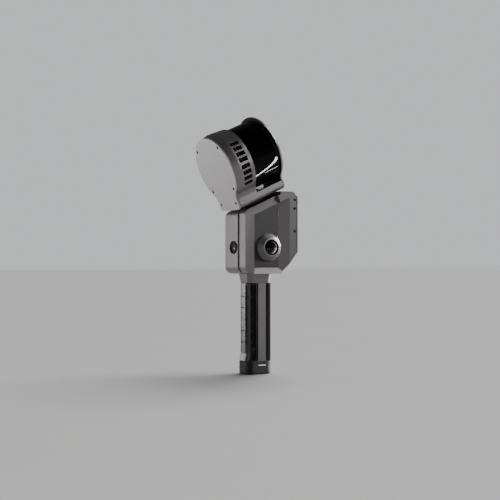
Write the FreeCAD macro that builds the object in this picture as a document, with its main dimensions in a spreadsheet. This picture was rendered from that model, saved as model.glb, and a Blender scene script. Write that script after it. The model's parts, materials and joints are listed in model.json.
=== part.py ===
"""Handheld lidar scanner: a battery handle, a camera body and a tilted head that turns a spinning lidar.

Millimetres, +Z up, the front camera looks along -Y, and the origin is the middle of the base's flat face.
Three frames are used: the upright object frame, the turntable frame (origin where the spin axis meets the
deck, Z along that axis) and the lidar frame (origin in the middle of the lidar, Y along its own axis).
"""
import FreeCAD, Part

import math
import os

import Sketcher
from FreeCAD import Placement, Rotation, Vector

DOC = FreeCAD.newDocument("scanner")
SHEET = DOC.addObject("Spreadsheet::Sheet", "Sizes")

DRIVING_SIZES = {
    # whole object
    "head_tilt": 24.5,
    "pivot_back": -3.0,
    "pivot_height": 276.5,
    "head_gap": 5.0,
    "lidar_rise": 73.0,
    "camera_height": 203.0,
    # lidar and its cradle
    "lidar_radius": 51.3,
    "plate_radius": 54.0,
    "ridge_radius": 56.3,
    "band_radius": 54.9,
    "band_inner": 51.8,
    "end_plate_radius": 56.4,
    "neck_half": 31.0,
    "foot_drop": 68.0,
    "face_station": 46.5,
    "plate_thick": 2.5,
    "ridge_station": 34.0,
    "band_end": 7.0,
    "window_end": 40.0,
    "end_plate_station": 42.5,
    "end_plate_thick": 4.0,
    "saddle_height": 13.7,
    "vent_length": 16.0,
    "vent_width": 6.4,
    # body
    "front_face": 40.0,
    "spine_proud": 2.5,
    "spine_half": 13.0,
    "rim_half_front": 33.5,
    "rim_half_rear": 40.5,
    "body_floor": 161.0,
    "body_rear": 50.5,
    "rear_cover_thick": 3.5,
    "body_shoulder": 293.0,
    "wall": 3.0,
    "cavity_half": 25.0,
    "panel_half": 28.5,
    "panel_thick": 2.0,
    "side_camera_back": 5.5,
    # handle
    "handle_centre": -2.0,
    "grip_half_depth": 23.0,
    "grip_half_width": 16.5,
    "grip_corner": 11.0,
    "cap_height": 21.0,
    "collar_bottom": 146.0,
    "strip_half": 7.5,
    "rubber_thick": 3.0,
    "cell_radius": 9.15,
    "cell_length": 65.0,
    "notch_pitch": 18.4,
    # turntable
    "shaft_radius": 8.5,
    "bearing_radius": 13.0,
    "bearing_width": 5.0,
    "hub_radius": 21.0,
    "bell_radius": 24.0,
}

for row, (word, value) in enumerate(DRIVING_SIZES.items(), start=1):
    SHEET.set(f"A{row}", word)
    SHEET.set(f"B{row}", str(value))
    SHEET.setAlias(f"B{row}", word)
DOC.recompute()


class Size:
    """A number together with the sheet expression that gives it."""

    def __init__(self, number, text):
        self.number = number
        self.text = text

    def __add__(self, other):
        other = as_size(other)
        return Size(self.number + other.number, f"({self.text} + {other.text})")

    def __sub__(self, other):
        other = as_size(other)
        return Size(self.number - other.number, f"({self.text} - {other.text})")

    def __mul__(self, other):
        other = as_size(other)
        return Size(self.number * other.number, f"({self.text} * {other.text})")

    def __truediv__(self, other):
        other = as_size(other)
        return Size(self.number / other.number, f"({self.text} / {other.text})")

    def __radd__(self, other):
        return as_size(other) + self

    def __rsub__(self, other):
        return as_size(other) - self

    def __rmul__(self, other):
        return as_size(other) * self

    def __neg__(self):
        return Size(-self.number, f"(-1 * {self.text})")


def as_size(value):
    """A Size as it is, or a plain number as a Size."""
    if isinstance(value, Size):
        return value
    return Size(float(value), f"({float(value)!r})")


def number(value):
    """The plain number of a Size or a number."""
    return as_size(value).number


def size(word):
    """The driving size of that name."""
    return Size(DRIVING_SIZES[word], f"Sizes.{word}")


def sine(angle):
    return Size(math.sin(math.radians(number(angle))), f"sin({as_size(angle).text} * 1 deg)")


def cosine(angle):
    return Size(math.cos(math.radians(number(angle))), f"cos({as_size(angle).text} * 1 deg)")


def tangent(angle):
    return Size(math.tan(math.radians(number(angle))), f"tan({as_size(angle).text} * 1 deg)")


def bind(thing, name, value):
    """Ties a property to the sheet."""
    thing.setExpression(name, as_size(value).text)


TILT = size("head_tilt")
PIVOT_Y = size("pivot_back")
PIVOT_Z = size("pivot_height")
RISE = size("lidar_rise")
DECK_SLOPE = tangent(TILT)


def deck_height(back):
    """Height of the tilted deck plane at a place along the depth."""
    return PIVOT_Z + (as_size(back) - PIVOT_Y) * DECK_SLOPE


def upright(body, along=0, back=0, height=0, turn=0):
    """Places a body upright, its own X axis turned about Z."""
    body.Placement = Placement(
        Vector(number(along), number(back), number(height)), Rotation(Vector(0, 0, 1), turn)
    )
    bind(body, "Placement.Base.x", along)
    bind(body, "Placement.Base.y", back)
    bind(body, "Placement.Base.z", height)
    return body


def on_turntable(body):
    """Places a body in the turntable frame."""
    body.Placement = Placement(
        Vector(0, PIVOT_Y.number, PIVOT_Z.number), Rotation(Vector(1, 0, 0), TILT.number)
    )
    bind(body, "Placement.Base.y", PIVOT_Y)
    bind(body, "Placement.Base.z", PIVOT_Z)
    bind(body, "Placement.Rotation.Angle", TILT)
    return body


def at_lidar(body):
    """Places a body in the lidar frame."""
    middle_y = PIVOT_Y - RISE * sine(TILT)
    middle_z = PIVOT_Z + RISE * cosine(TILT)
    body.Placement = Placement(
        Vector(0, middle_y.number, middle_z.number), Rotation(Vector(1, 0, 0), TILT.number)
    )
    bind(body, "Placement.Base.y", middle_y)
    bind(body, "Placement.Base.z", middle_z)
    bind(body, "Placement.Rotation.Angle", TILT)
    return body


NODES = []


def new_body(label):
    """A PartDesign body whose label is its node's name."""
    body = DOC.addObject("PartDesign::Body", label)
    body.Label = label
    body.AllowCompound = True
    NODES.append(body)
    return body


def plane(body, role):
    """One of the body's own origin planes or axes."""
    for feature in body.Origin.OriginFeatures:
        if feature.Role == role:
            return feature
    raise ValueError(role)


def sketch(body, role, lift=0, tip=None):
    """A sketch on an origin plane, lifted along the plane's normal, or tipped as a Placement says."""
    made = body.newObject("Sketcher::SketchObject", f"{body.Label}_sketch")
    made.AttachmentSupport = [(plane(body, role), "")]
    made.MapMode = "FlatFace"
    if tip is not None:
        made.AttachmentOffset = tip
    elif number(lift) != 0:
        made.AttachmentOffset = Placement(Vector(0, 0, number(lift)), Rotation())
        bind(made, "AttachmentOffset.Base.z", lift)
    return made


def fix_point(made, index, corner, place):
    """Holds a sketch point at its place from the sketch's origin."""
    for kind, value in (("DistanceX", place[0]), ("DistanceY", place[1])):
        if abs(number(value)) < 1e-9:
            other = "PointOnObject"
            axis = -2 if kind == "DistanceX" else -1
            made.addConstraint(Sketcher.Constraint(other, index, corner, axis))
            continue
        held = made.addConstraint(Sketcher.Constraint(kind, -1, 1, index, corner, number(value)))
        if isinstance(value, Size):
            made.setExpression(f"Constraints[{held}]", value.text)


def polygon(made, points):
    """A closed outline of straight lines, each corner held from the origin."""
    spots = [Vector(number(x), number(y), 0) for x, y in points]
    first = made.GeometryCount
    count = len(spots)
    for i in range(count):
        made.addGeometry(Part.LineSegment(spots[i], spots[(i + 1) % count]), False)
    for i in range(count):
        after = first + (i + 1) % count
        made.addConstraint(Sketcher.Constraint("Coincident", first + i, 2, after, 1))
    for i, point in enumerate(points):
        fix_point(made, first + i, 1, point)


def rectangle(made, left, right, low, high):
    polygon(made, [(left, low), (right, low), (right, high), (left, high)])


def rounded_rectangle(made, left, right, low, high, corner):
    """Four lines and four equal tangent arcs."""
    a, b, c, d = number(left), number(right), number(low), number(high)
    r = number(corner)
    corners = [
        (Vector(a + r, c, 0), Vector(b - r, c, 0), Vector(b - r, c + r, 0)),
        (Vector(b, c + r, 0), Vector(b, d - r, 0), Vector(b - r, d - r, 0)),
        (Vector(b - r, d, 0), Vector(a + r, d, 0), Vector(a + r, d - r, 0)),
        (Vector(a, d - r, 0), Vector(a, c + r, 0), Vector(a + r, c + r, 0)),
    ]
    first = made.GeometryCount
    for i, (start, end, centre) in enumerate(corners):
        made.addGeometry(Part.LineSegment(start, end), False)
        round_off = Part.Circle(centre, Vector(0, 0, 1), r)
        turn = math.pi / 2 * (i - 1)
        made.addGeometry(Part.ArcOfCircle(round_off, turn, turn + math.pi / 2), False)
    for i in range(4):
        line = first + 2 * i
        after = first + (2 * i + 2) % 8
        made.addConstraint(Sketcher.Constraint("Tangent", line, 2, line + 1, 1))
        made.addConstraint(Sketcher.Constraint("Tangent", line + 1, 2, after, 1))
        made.addConstraint(Sketcher.Constraint("Horizontal" if i % 2 == 0 else "Vertical", line))
    for i in range(1, 4):
        made.addConstraint(Sketcher.Constraint("Equal", first + 1, first + 2 * i + 1))
    sides = (("DistanceY", 0, low), ("DistanceX", 2, right), ("DistanceY", 4, high), ("DistanceX", 6, left))
    for kind, line, value in sides:
        held = made.addConstraint(Sketcher.Constraint(kind, -1, 1, first + line, 1, number(value)))
        made.setExpression(f"Constraints[{held}]", as_size(value).text)
    held = made.addConstraint(Sketcher.Constraint("Radius", first + 1, r))
    made.setExpression(f"Constraints[{held}]", as_size(corner).text)


def circle(made, x, y, radius):
    """A circle with its centre and radius held."""
    index = made.addGeometry(
        Part.Circle(Vector(number(x), number(y), 0), Vector(0, 0, 1), number(radius)), False
    )
    fix_point(made, index, 3, (x, y))
    held = made.addConstraint(Sketcher.Constraint("Radius", index, number(radius)))
    if isinstance(radius, Size):
        made.setExpression(f"Constraints[{held}]", radius.text)


def settle(feature):
    """Recomputes, and stops if the feature failed."""
    DOC.recompute()
    if "Invalid" in feature.State or "Error" in feature.State:
        raise RuntimeError(f"{feature.Label}: {feature.getStatusString()}")
    return feature


def pad(body, made, length, both_ways=False, backwards=False):
    """Adds the sketch's outline, as long as asked."""
    feature = body.newObject("PartDesign::Pad", f"{body.Label}_pad")
    feature.Profile = made
    feature.Length = number(length)
    bind(feature, "Length", length)
    feature.Midplane = both_ways
    feature.Reversed = backwards
    return settle(feature)


def cut(body, made, length, both_ways=False, backwards=False):
    """Removes the sketch's outline, and makes sure that something went."""
    before = body.Shape.Volume
    feature = body.newObject("PartDesign::Pocket", f"{body.Label}_cut")
    feature.Profile = made
    feature.Length = number(length)
    bind(feature, "Length", length)
    feature.Midplane = both_ways
    feature.Reversed = backwards
    settle(feature)
    check_removed(body, before)
    return feature


def check_removed(body, before):
    if not body.Shape.Volume < before - 1e-3:
        raise RuntimeError(f"a cut in {body.Label} removed nothing")


def revolve(body, made, axis="H_Axis"):
    """Turns the sketch's outline all round one of its own axes."""
    feature = body.newObject("PartDesign::Revolution", f"{body.Label}_turned")
    feature.Profile = made
    feature.ReferenceAxis = (made, [axis])
    feature.Angle = 360
    return settle(feature)


def groove(body, made, axis="H_Axis"):
    """Turns a cut all round one of the sketch's own axes."""
    before = body.Shape.Volume
    feature = body.newObject("PartDesign::Groove", f"{body.Label}_groove")
    feature.Profile = made
    feature.ReferenceAxis = (made, [axis])
    feature.Angle = 360
    settle(feature)
    check_removed(body, before)
    return feature


def edge_names(body, wanted):
    """Names of the edges for which wanted(middle point, direction) is true."""
    names = []
    for i, edge in enumerate(body.Shape.Edges, start=1):
        first, last = edge.ParameterRange
        middle = edge.valueAt((first + last) / 2)
        inverse = body.Placement.inverse()
        heading = inverse.Rotation.multVec(edge.tangentAt((first + last) / 2))
        if wanted(inverse.multVec(middle), heading):
            names.append(f"Edge{i}")
    return names


def fillet(body, radius, wanted):
    """Rounds the chosen edges of the body's last feature."""
    base = body.Tip
    names = edge_names(body, wanted)
    if not names:
        raise RuntimeError(f"no edge to round on {body.Label}")
    feature = body.newObject("PartDesign::Fillet", f"{body.Label}_round")
    feature.Base = (base, names)
    feature.Radius = number(radius)
    bind(feature, "Radius", radius)
    return settle(feature)


def chamfer(body, width, wanted):
    """Bevels the chosen edges of the body's last feature."""
    base = body.Tip
    names = edge_names(body, wanted)
    if not names:
        raise RuntimeError(f"no edge to bevel on {body.Label}")
    feature = body.newObject("PartDesign::Chamfer", f"{body.Label}_bevel")
    feature.Base = (base, names)
    feature.Size = number(width)
    bind(feature, "Size", width)
    return settle(feature)


WAIST_ROUND = 14.0
PLATE_CORNER = 6.0
BEYOND = 60.0
STOCK_WIDTH = 84.0


def teardrop(body, radius, half, first, last):
    """A disc with a neck down to the foot, between two stations along the lidar's axis."""
    disc = sketch(body, "XZ_Plane", -as_size(first))
    circle(disc, 0, 0, radius)
    pad(body, disc, as_size(last) - first, backwards=True)
    neck = sketch(body, "XZ_Plane", -as_size(first))
    rectangle(neck, -as_size(half), half, -size("foot_drop"), 0)
    pad(body, neck, as_size(last) - first, backwards=True)
    shoulder = number(radius) + 1
    fillet(body, WAIST_ROUND, lambda p, t: abs(t.y) > 0.9 and abs(p.x) > 20 and -shoulder < p.z < -30)


def round_foot(body):
    """Rounds the two lower corners of a teardrop along the lidar's axis."""
    near_foot = 0.1 - number(size("foot_drop"))
    fillet(body, PLATE_CORNER, lambda p, t: abs(t.y) > 0.9 and p.z < near_foot)


def turned(body, role, profile, axis="H_Axis"):
    """A round piece: one closed profile turned about the sketch's own axis."""
    made = sketch(body, role)
    polygon(made, profile)
    return revolve(body, made, axis)


def repeat_round(body, feature, axis, angle, count):
    """Repeats a feature round one of the body's own axes."""
    ring = body.newObject("PartDesign::PolarPattern", f"{body.Label}_ring")
    ring.Originals = [feature]
    ring.Axis = (plane(body, axis), [""])
    ring.Angle = angle
    ring.Occurrences = count
    body.Tip = ring
    return settle(ring)


def holes(body, role, lift, spots, radius, depth, backwards=False):
    """Round holes of one size, drilled from one plane."""
    made = sketch(body, role, lift)
    for x, y in spots:
        circle(made, x, y, radius)
    return cut(body, made, depth, backwards=backwards)


PLATE_SCREWS = [(-34.5, 35), (34.5, 35), (-34.5, -33.5), (34.5, -33.5), (-24, -57), (24, -57)]
SCREW_SHANK = 1.5
SCREW_HEAD = 2.4
SCREW_DEPTH = 6.5
SCREW_PLAY = 0.1
SOCKET_SHARE = 0.8
SOCKET_DEPTH_SHARE = 0.7
FRONT_SEAT = 1.5
FRONT_HEAD_HIGH = 1.2
FRONT_SHANK_LONG = 7.0
END_SEAT = 1.8
END_HEAD_HIGH = 1.4
END_SHANK_LONG = 5.0


def screw_group(body, role, lift, spots, head_high, shank_long, backwards=False):
    """Socket screws: round heads on one side of a plane and shanks on the other."""
    heads = sketch(body, role, lift)
    for x, y in spots:
        circle(heads, x, y, SCREW_HEAD)
    pad(body, heads, head_high, backwards=backwards)
    shanks = sketch(body, role, lift)
    for x, y in spots:
        circle(shanks, x, y, SCREW_SHANK)
    pad(body, shanks, shank_long, backwards=not backwards)
    top = as_size(lift) + (-1 if backwards else 1) * as_size(head_high)
    sockets = sketch(body, role, top)
    for x, y in spots:
        circle(sockets, x, y, SCREW_SHANK * SOCKET_SHARE)
    cut(body, sockets, as_size(head_high) * SOCKET_DEPTH_SHARE, backwards=backwards)


def front_plate():
    """Light teardrop plate on the front of the cradle, with six countersunk seats."""
    body = at_lidar(new_body("front_plate"))
    face = size("face_station")
    teardrop(body, size("plate_radius"), size("neck_half"), -face, size("plate_thick") - face)
    round_foot(body)
    holes(body, "XZ_Plane", face, PLATE_SCREWS, SCREW_HEAD + SCREW_PLAY, FRONT_SEAT)
    holes(body, "XZ_Plane", face, PLATE_SCREWS, SCREW_SHANK + SCREW_PLAY, size("plate_thick"))
    return body


def front_plate_screws():
    """Six screws whose heads lie in the plate."""
    body = at_lidar(new_body("front_plate_screws"))
    seat = size("face_station") - FRONT_SEAT
    screw_group(body, "XZ_Plane", seat, PLATE_SCREWS, FRONT_HEAD_HIGH, FRONT_SHANK_LONG)
    return body


def vent_band():
    """Ring round the lidar's base: a bevel out to the ridge, a taper and two rows of slots a side."""
    body = at_lidar(new_body("vent_band"))
    start = size("plate_thick") - size("face_station")
    ridge = -size("ridge_station")
    end = -size("band_end")
    inner = size("band_inner")
    turned(body, "YZ_Plane", [
        (start, inner),
        (start, size("plate_radius") + 0.3),
        (ridge, size("ridge_radius")),
        (ridge + RIDGE_FLAT, size("ridge_radius")),
        (end - BAND_EDGE, size("band_radius")),
        (end, size("band_radius") - BAND_EDGE),
        (end, inner),
    ])
    outer = size("ridge_radius") + 2
    slot_middle = (ridge + end) / 2 - VENT_SHIFT
    rows = [FIRST_VENT, SECOND_VENT]
    rows += [360 - start_angle - VENT_ROW_ANGLE for start_angle in rows]
    for first in rows:
        made = sketch(body, "XY_Plane", tip=Placement(
            Vector(0, 0, 0), Rotation(Vector(0, 1, 0), first)).multiply(
            Placement(Vector(0, 0, number(outer)), Rotation())))
        half_long = size("vent_length") / 2
        half_wide = size("vent_width") / 2
        rectangle(made, -half_wide, half_wide, slot_middle - half_long, slot_middle + half_long)
        slot = cut(body, made, VENT_CUT)
        repeat_round(body, slot, "Y_Axis", VENT_ROW_ANGLE, VENTS_IN_ROW)
    saddle = sketch(body, "XZ_Plane", size("face_station") + 1)
    rectangle(saddle, -BEYOND, BEYOND, -BEYOND, SADDLE_TOP)
    cut(body, saddle, BEYOND)
    return body


SADDLE_TOP = -39.5
FIRST_VENT = 55.0
SECOND_VENT = 96.5
VENT_ROW_ANGLE = 30.0
VENTS_IN_ROW = 4
VENT_CUT = 8.0
VENT_SHIFT = 2.0
RIDGE_FLAT = 1.2
BAND_EDGE = 0.9


def head_base():
    """Cradle saddle: a slab under the window and a shoulder that rises to the vented band."""
    body = at_lidar(new_body("head_base"))
    start = size("plate_thick") - size("face_station")
    shoulder_end = -size("band_end")
    teardrop(body, size("band_radius") + SADDLE_PROUD, size("neck_half"), start, shoulder_end)
    slab = sketch(body, "XZ_Plane", SLAB_START)
    half = size("neck_half")
    foot = -size("foot_drop")
    rectangle(slab, -half, half, foot, foot + size("saddle_height"))
    pad(body, slab, size("end_plate_station") + SLAB_START, backwards=True)
    round_foot(body)
    face = number(start)
    fillet(body, SEAM_ROUND, lambda p, t: p.y < face + 0.1 and p.z < -45 and abs(p.x) > 28)
    top = sketch(body, "XZ_Plane", size("face_station") + 1)
    rectangle(top, -BEYOND, BEYOND, SADDLE_TOP, BEYOND)
    cut(body, top, BEYOND)
    bore = sketch(body, "XZ_Plane", size("face_station") + 1)
    circle(bore, 0, 0, size("band_inner"))
    cut(body, bore, BEYOND)
    wire_way = sketch(body, "XY_Plane", foot)
    circle(wire_way, 0, 0, size("shaft_radius") - SHAFT_WALL)
    cut(body, wire_way, size("saddle_height") + 1, backwards=True)
    holes(body, "XY_Plane", foot, HUB_SCREWS, SCREW_SHANK + SCREW_PLAY, size("saddle_height") + 1, True)
    low = [spot for spot in PLATE_SCREWS if spot[1] < -50]
    holes(body, "XZ_Plane", -start, low, SCREW_SHANK, SCREW_DEPTH)
    holes(body, "XZ_Plane", -size("end_plate_station"), END_SCREWS_LOW, SCREW_SHANK, SCREW_DEPTH, True)
    return body


SADDLE_PROUD = 0.6
SLAB_START = 20.0
SEAM_ROUND = 2.0
HUB_SCREWS = [(15, 4.4), (-15, 4.4), (15, -4.4), (-15, -4.4)]
END_SCREWS_LOW = [(-18, -61), (18, -61)]
END_SCREWS_HIGH = [(-30, 30), (30, 30), (-30, -30), (30, -30)]


def end_plate():
    """Teardrop plate at the far end of the lidar, a little larger than the window."""
    body = at_lidar(new_body("end_plate"))
    start = size("end_plate_station")
    end = start + size("end_plate_thick")
    teardrop(body, size("end_plate_radius"), size("neck_half") - 1, start, end)
    round_foot(body)
    chamfer(body, 1, lambda p, t: p.y > number(end) - 0.1 and abs(t.y) < 0.1)
    spots = END_SCREWS_LOW + END_SCREWS_HIGH
    holes(body, "XZ_Plane", -end, spots, SCREW_HEAD + SCREW_PLAY, END_SEAT, True)
    holes(body, "XZ_Plane", -end, spots, SCREW_SHANK + SCREW_PLAY, size("end_plate_thick"), True)
    return body


def end_plate_screws():
    """Six screws whose heads lie in the far plate."""
    body = at_lidar(new_body("end_plate_screws"))
    face = size("end_plate_station") + size("end_plate_thick")
    spots = END_SCREWS_LOW + END_SCREWS_HIGH
    screw_group(body, "XZ_Plane", END_SEAT - face, spots, END_HEAD_HIGH, END_SHANK_LONG, True)
    return body


def lidar_base():
    """Finned drum that carries the lidar's motor and lower bearing seat."""
    body = at_lidar(new_body("lidar_base"))
    start = size("plate_thick") - size("face_station")
    end = -size("band_end") - 0.5
    radius = size("lidar_radius")
    turned(body, "YZ_Plane", [
        (start, 0),
        (start, radius),
        (end, radius),
        (end, DRIVER_ROOM),
        (start + DRUM_FLOOR, DRIVER_ROOM),
        (start + DRUM_FLOOR, DRIVER_HUB),
        (LOWER_BEARING + LIDAR_BEARING_WIDE, DRIVER_HUB),
        (LOWER_BEARING + LIDAR_BEARING_WIDE, BEARING_OUTER),
        (LOWER_BEARING, BEARING_OUTER),
        (LOWER_BEARING, SPINDLE_ROOM),
        (LOWER_BEARING - SPINDLE_WELL, SPINDLE_ROOM),
        (LOWER_BEARING - SPINDLE_WELL, 0),
    ])
    fins = sketch(body, "YZ_Plane")
    for i in range(FIN_GAPS):
        near = FIRST_FIN_GAP + FIN_PITCH * i
        rectangle(fins, near, near + FIN_GAP, radius - FIN_DEEP, radius + 1)
    groove(body, fins)
    high = [spot for spot in PLATE_SCREWS if spot[1] > -50]
    holes(body, "XZ_Plane", -start, high, SCREW_SHANK, SCREW_DEPTH)
    return body


def lidar_driver():
    """Driver board on the floor of the drum and the motor's coils round the bearing's hub."""
    body = at_lidar(new_body("lidar_driver"))
    floor = size("plate_thick") - size("face_station") + DRUM_FLOOR
    board = sketch(body, "XZ_Plane", -floor)
    circle(board, 0, 0, DRIVER_ROOM)
    circle(board, 0, 0, DRIVER_HUB)
    pad(body, board, BOARD_THICK, backwards=True)
    coils = sketch(body, "XZ_Plane", -floor - BOARD_THICK)
    circle(coils, 0, 0, COIL_RADIUS)
    circle(coils, 0, 0, DRIVER_HUB)
    pad(body, coils, COIL_LONG, backwards=True)
    chips = sketch(body, "XZ_Plane", -floor - BOARD_THICK)
    for x, y in DRIVER_CHIPS:
        rectangle(chips, x, x + 9, y, y + 7)
    pad(body, chips, CHIP_THICK, backwards=True)
    return body


BOARD_THICK = 1.6
CHIP_THICK = 1.8
DRUM_FLOOR = 5.0
DRIVER_ROOM = 43.0
DRIVER_HUB = 13.0
DRIVER_CHIPS = [(28, 8), (-38, 4), (-8, 28), (4, -36)]
COIL_RADIUS = 24.0
COIL_LONG = 16.0
SPINDLE_ROOM = 4.5
SPINDLE_WELL = 3.0
FIN_GAPS = 4
FIRST_FIN_GAP = -33.5
FIN_PITCH = 5.5
FIN_GAP = 3.5
FIN_DEEP = 6.0
WINDOW_WALL = 2.2
BEARING_OUTER = 7.5
BEARING_INNER = 3.0
LIDAR_BEARING_WIDE = 5.0
LOWER_BEARING = -20.0
UPPER_BEARING = 34.0
CAP_COLLAR = 2.5


def lidar_window():
    """Clear-walled dark tube round the spinning optics."""
    body = at_lidar(new_body("lidar_window"))
    radius = size("lidar_radius")
    start = -size("band_end") - 0.5
    turned(body, "YZ_Plane", [
        (start, radius - WINDOW_WALL),
        (start, radius),
        (size("window_end"), radius),
        (size("window_end"), radius - WINDOW_WALL),
    ])
    return body


def lidar_cap():
    """Closes the window and seats the upper bearing."""
    body = at_lidar(new_body("lidar_cap"))
    radius = size("lidar_radius")
    face = size("window_end")
    turned(body, "YZ_Plane", [
        (face, radius),
        (size("end_plate_station"), radius),
        (size("end_plate_station"), 0),
        (UPPER_BEARING + LIDAR_BEARING_WIDE + 1, 0),
        (UPPER_BEARING + LIDAR_BEARING_WIDE + 1, SPINDLE_ROOM),
        (UPPER_BEARING + LIDAR_BEARING_WIDE, SPINDLE_ROOM),
        (UPPER_BEARING + LIDAR_BEARING_WIDE, BEARING_OUTER),
        (UPPER_BEARING, BEARING_OUTER),
        (UPPER_BEARING, BEARING_OUTER + CAP_COLLAR),
        (face, BEARING_OUTER + CAP_COLLAR),
    ])
    holes(body, "XZ_Plane", -size("end_plate_station"), END_SCREWS_HIGH, SCREW_SHANK, SCREW_DEPTH, True)
    return body


def lidar_bearings():
    """The two ball bearings of the lidar's spindle."""
    body = at_lidar(new_body("lidar_bearings"))
    made = sketch(body, "YZ_Plane")
    for near in (LOWER_BEARING, UPPER_BEARING):
        rectangle(made, near, near + LIDAR_BEARING_WIDE, BEARING_INNER + 0.03, BEARING_OUTER)
    revolve(body, made)
    return body


def lidar_spindle():
    """Shaft of the spinning optics."""
    body = at_lidar(new_body("lidar_spindle"))
    turned(body, "YZ_Plane", [
        (LOWER_BEARING, 0),
        (LOWER_BEARING, BEARING_INNER),
        (LOWER_BEARING + LIDAR_BEARING_WIDE + 0.2, BEARING_INNER),
        (LOWER_BEARING + LIDAR_BEARING_WIDE + 0.2, SPINDLE_RADIUS),
        (UPPER_BEARING - 0.2, SPINDLE_RADIUS),
        (UPPER_BEARING - 0.2, BEARING_INNER),
        (UPPER_BEARING + LIDAR_BEARING_WIDE, BEARING_INNER),
        (UPPER_BEARING + LIDAR_BEARING_WIDE, 0),
    ])
    return body


def lidar_rotor():
    """Spinning optics: two discs on a hub, a block with two round apertures and one that balances it."""
    body = at_lidar(new_body("lidar_rotor"))
    for near in (ROTOR_START, ROTOR_END - ROTOR_DISC):
        disc = sketch(body, "XZ_Plane", -near)
        circle(disc, 0, 0, ROTOR_RADIUS)
        pad(body, disc, ROTOR_DISC, backwards=True)
        if near == ROTOR_START:
            hub = sketch(body, "XZ_Plane", -near)
            circle(hub, 0, 0, ROTOR_HUB)
            pad(body, hub, ROTOR_END - ROTOR_START, backwards=True)
            blocks = sketch(body, "XZ_Plane", -near)
            rectangle(blocks, -OPTICS_HALF, OPTICS_HALF, OPTICS_BACK, OPTICS_FACE)
            rectangle(blocks, -OPTICS_HALF, OPTICS_HALF, -OPTICS_FACE, -OPTICS_BACK)
            pad(body, blocks, ROTOR_END - ROTOR_START, backwards=True)
    spindle = sketch(body, "XZ_Plane", 1 - ROTOR_START)
    circle(spindle, 0, 0, SPINDLE_RADIUS)
    cut(body, spindle, ROTOR_END - ROTOR_START + 2)
    holes(body, "XY_Plane", OPTICS_FACE + 1, OPTICS_EYES, OPTICS_RADIUS, OPTICS_BORE)
    return body


ROTOR_START = -5.0
ROTOR_END = 32.0
ROTOR_DISC = 3.0
ROTOR_RADIUS = 44.0
ROTOR_HUB = 9.0
OPTICS_HALF = 30.0
OPTICS_BACK = 7.0
OPTICS_FACE = 30.0
OPTICS_EYES = [(-15, 13.5), (15, 13.5)]
OPTICS_RADIUS = 10.0
OPTICS_BORE = 15.0
LENS_SET_BACK = 4.0
LENS_THICK = 3.0
SPINDLE_RADIUS = 4.2


def rotor_lenses():
    """Sending and receiving lenses in the optics' face."""
    body = at_lidar(new_body("rotor_lenses"))
    made = sketch(body, "XY_Plane", OPTICS_FACE - LENS_SET_BACK)
    for x, y in OPTICS_EYES:
        circle(made, x, y, OPTICS_RADIUS)
    pad(body, made, LENS_THICK)
    return body


def turntable_hub():
    """Flange under the cradle and the hollow shaft that hangs in the bearings."""
    body = on_turntable(new_body("turntable_hub"))
    shaft = size("shaft_radius")
    turned(body, "XZ_Plane", [
        (shaft - SHAFT_WALL, size("head_gap")),
        (size("hub_radius"), size("head_gap")),
        (size("hub_radius"), HUB_CLEARANCE),
        (shaft + HUB_SHOULDER, HUB_CLEARANCE),
        (shaft + HUB_SHOULDER, -CARRIER_FLANGE),
        (shaft, -CARRIER_FLANGE),
        (shaft, SHAFT_END),
        (shaft - SHAFT_WALL, SHAFT_END),
    ], "V_Axis")
    holes(body, "XY_Plane", size("head_gap"), HUB_SCREWS, SCREW_SHANK, HUB_SCREW_DEPTH)
    return body


SHAFT_WALL = 2.3
SHAFT_END = -33.0
HUB_CLEARANCE = 1.0
HUB_SHOULDER = 1.0
HUB_SCREW_DEPTH = 3.5
CARRIER_FLANGE = 4.0
CARRIER_WALL = 2.0
CARRIER_MOUTH = 1.6
UPPER_RACE = -9.2
LOWER_RACE = -28.0


def hub_screws():
    """Four screws that hold the cradle to the hub."""
    body = on_turntable(new_body("hub_screws"))
    top = size("head_gap") + size("saddle_height")
    screw_group(body, "XY_Plane", top, HUB_SCREWS, HUB_HEAD_HIGH, size("saddle_height") + 3)
    return body


def bearing_carrier():
    """Flange let into the deck, and the tube that holds both bearings and the stator."""
    body = on_turntable(new_body("bearing_carrier"))
    race = size("bearing_radius")
    turned(body, "XZ_Plane", [
        (size("shaft_radius") + CARRIER_MOUTH, 0),
        (CARRIER_RADIUS, 0),
        (CARRIER_RADIUS, -CARRIER_FLANGE),
        (race + CARRIER_WALL, -CARRIER_FLANGE),
        (race + CARRIER_WALL, LOWER_RACE),
        (race, LOWER_RACE),
        (race, RACE_STOP),
        (size("shaft_radius") + CARRIER_MOUTH, RACE_STOP),
    ], "V_Axis")
    return body


CARRIER_RADIUS = 25.6
RACE_STOP = -4.2
RACE_WALL = 1.1
HUB_HEAD_HIGH = 2.0


def bearing_outer_races():
    """Outer rings of the two turntable bearings."""
    body = on_turntable(new_body("bearing_outer_races"))
    made = sketch(body, "XZ_Plane")
    race = size("bearing_radius")
    for low in (UPPER_RACE, LOWER_RACE):
        rectangle(made, race - RACE_WALL, race, low, low + size("bearing_width"))
    revolve(body, made, "V_Axis")
    return body


def bearing_inner_races():
    """Inner rings of the two turntable bearings."""
    body = on_turntable(new_body("bearing_inner_races"))
    made = sketch(body, "XZ_Plane")
    shaft = size("shaft_radius")
    for low in (UPPER_RACE, LOWER_RACE):
        rectangle(made, shaft, shaft + RACE_WALL, low, low + size("bearing_width"))
    revolve(body, made, "V_Axis")
    return body


STATOR_LOW = -24.0
STATOR_HIGH = -11.0
STATOR_RADIUS = 20.4
STATOR_SLOTS = 12
SLOT_DEEP = 3.4
SLOT_HALF = 1.0
BELL_WALL = 1.4
BELL_FLOOR = 2.5
MAGNETS = 14
MAGNET_THICK = 1.5
MAGNET_GAP_HALF = 0.9


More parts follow.
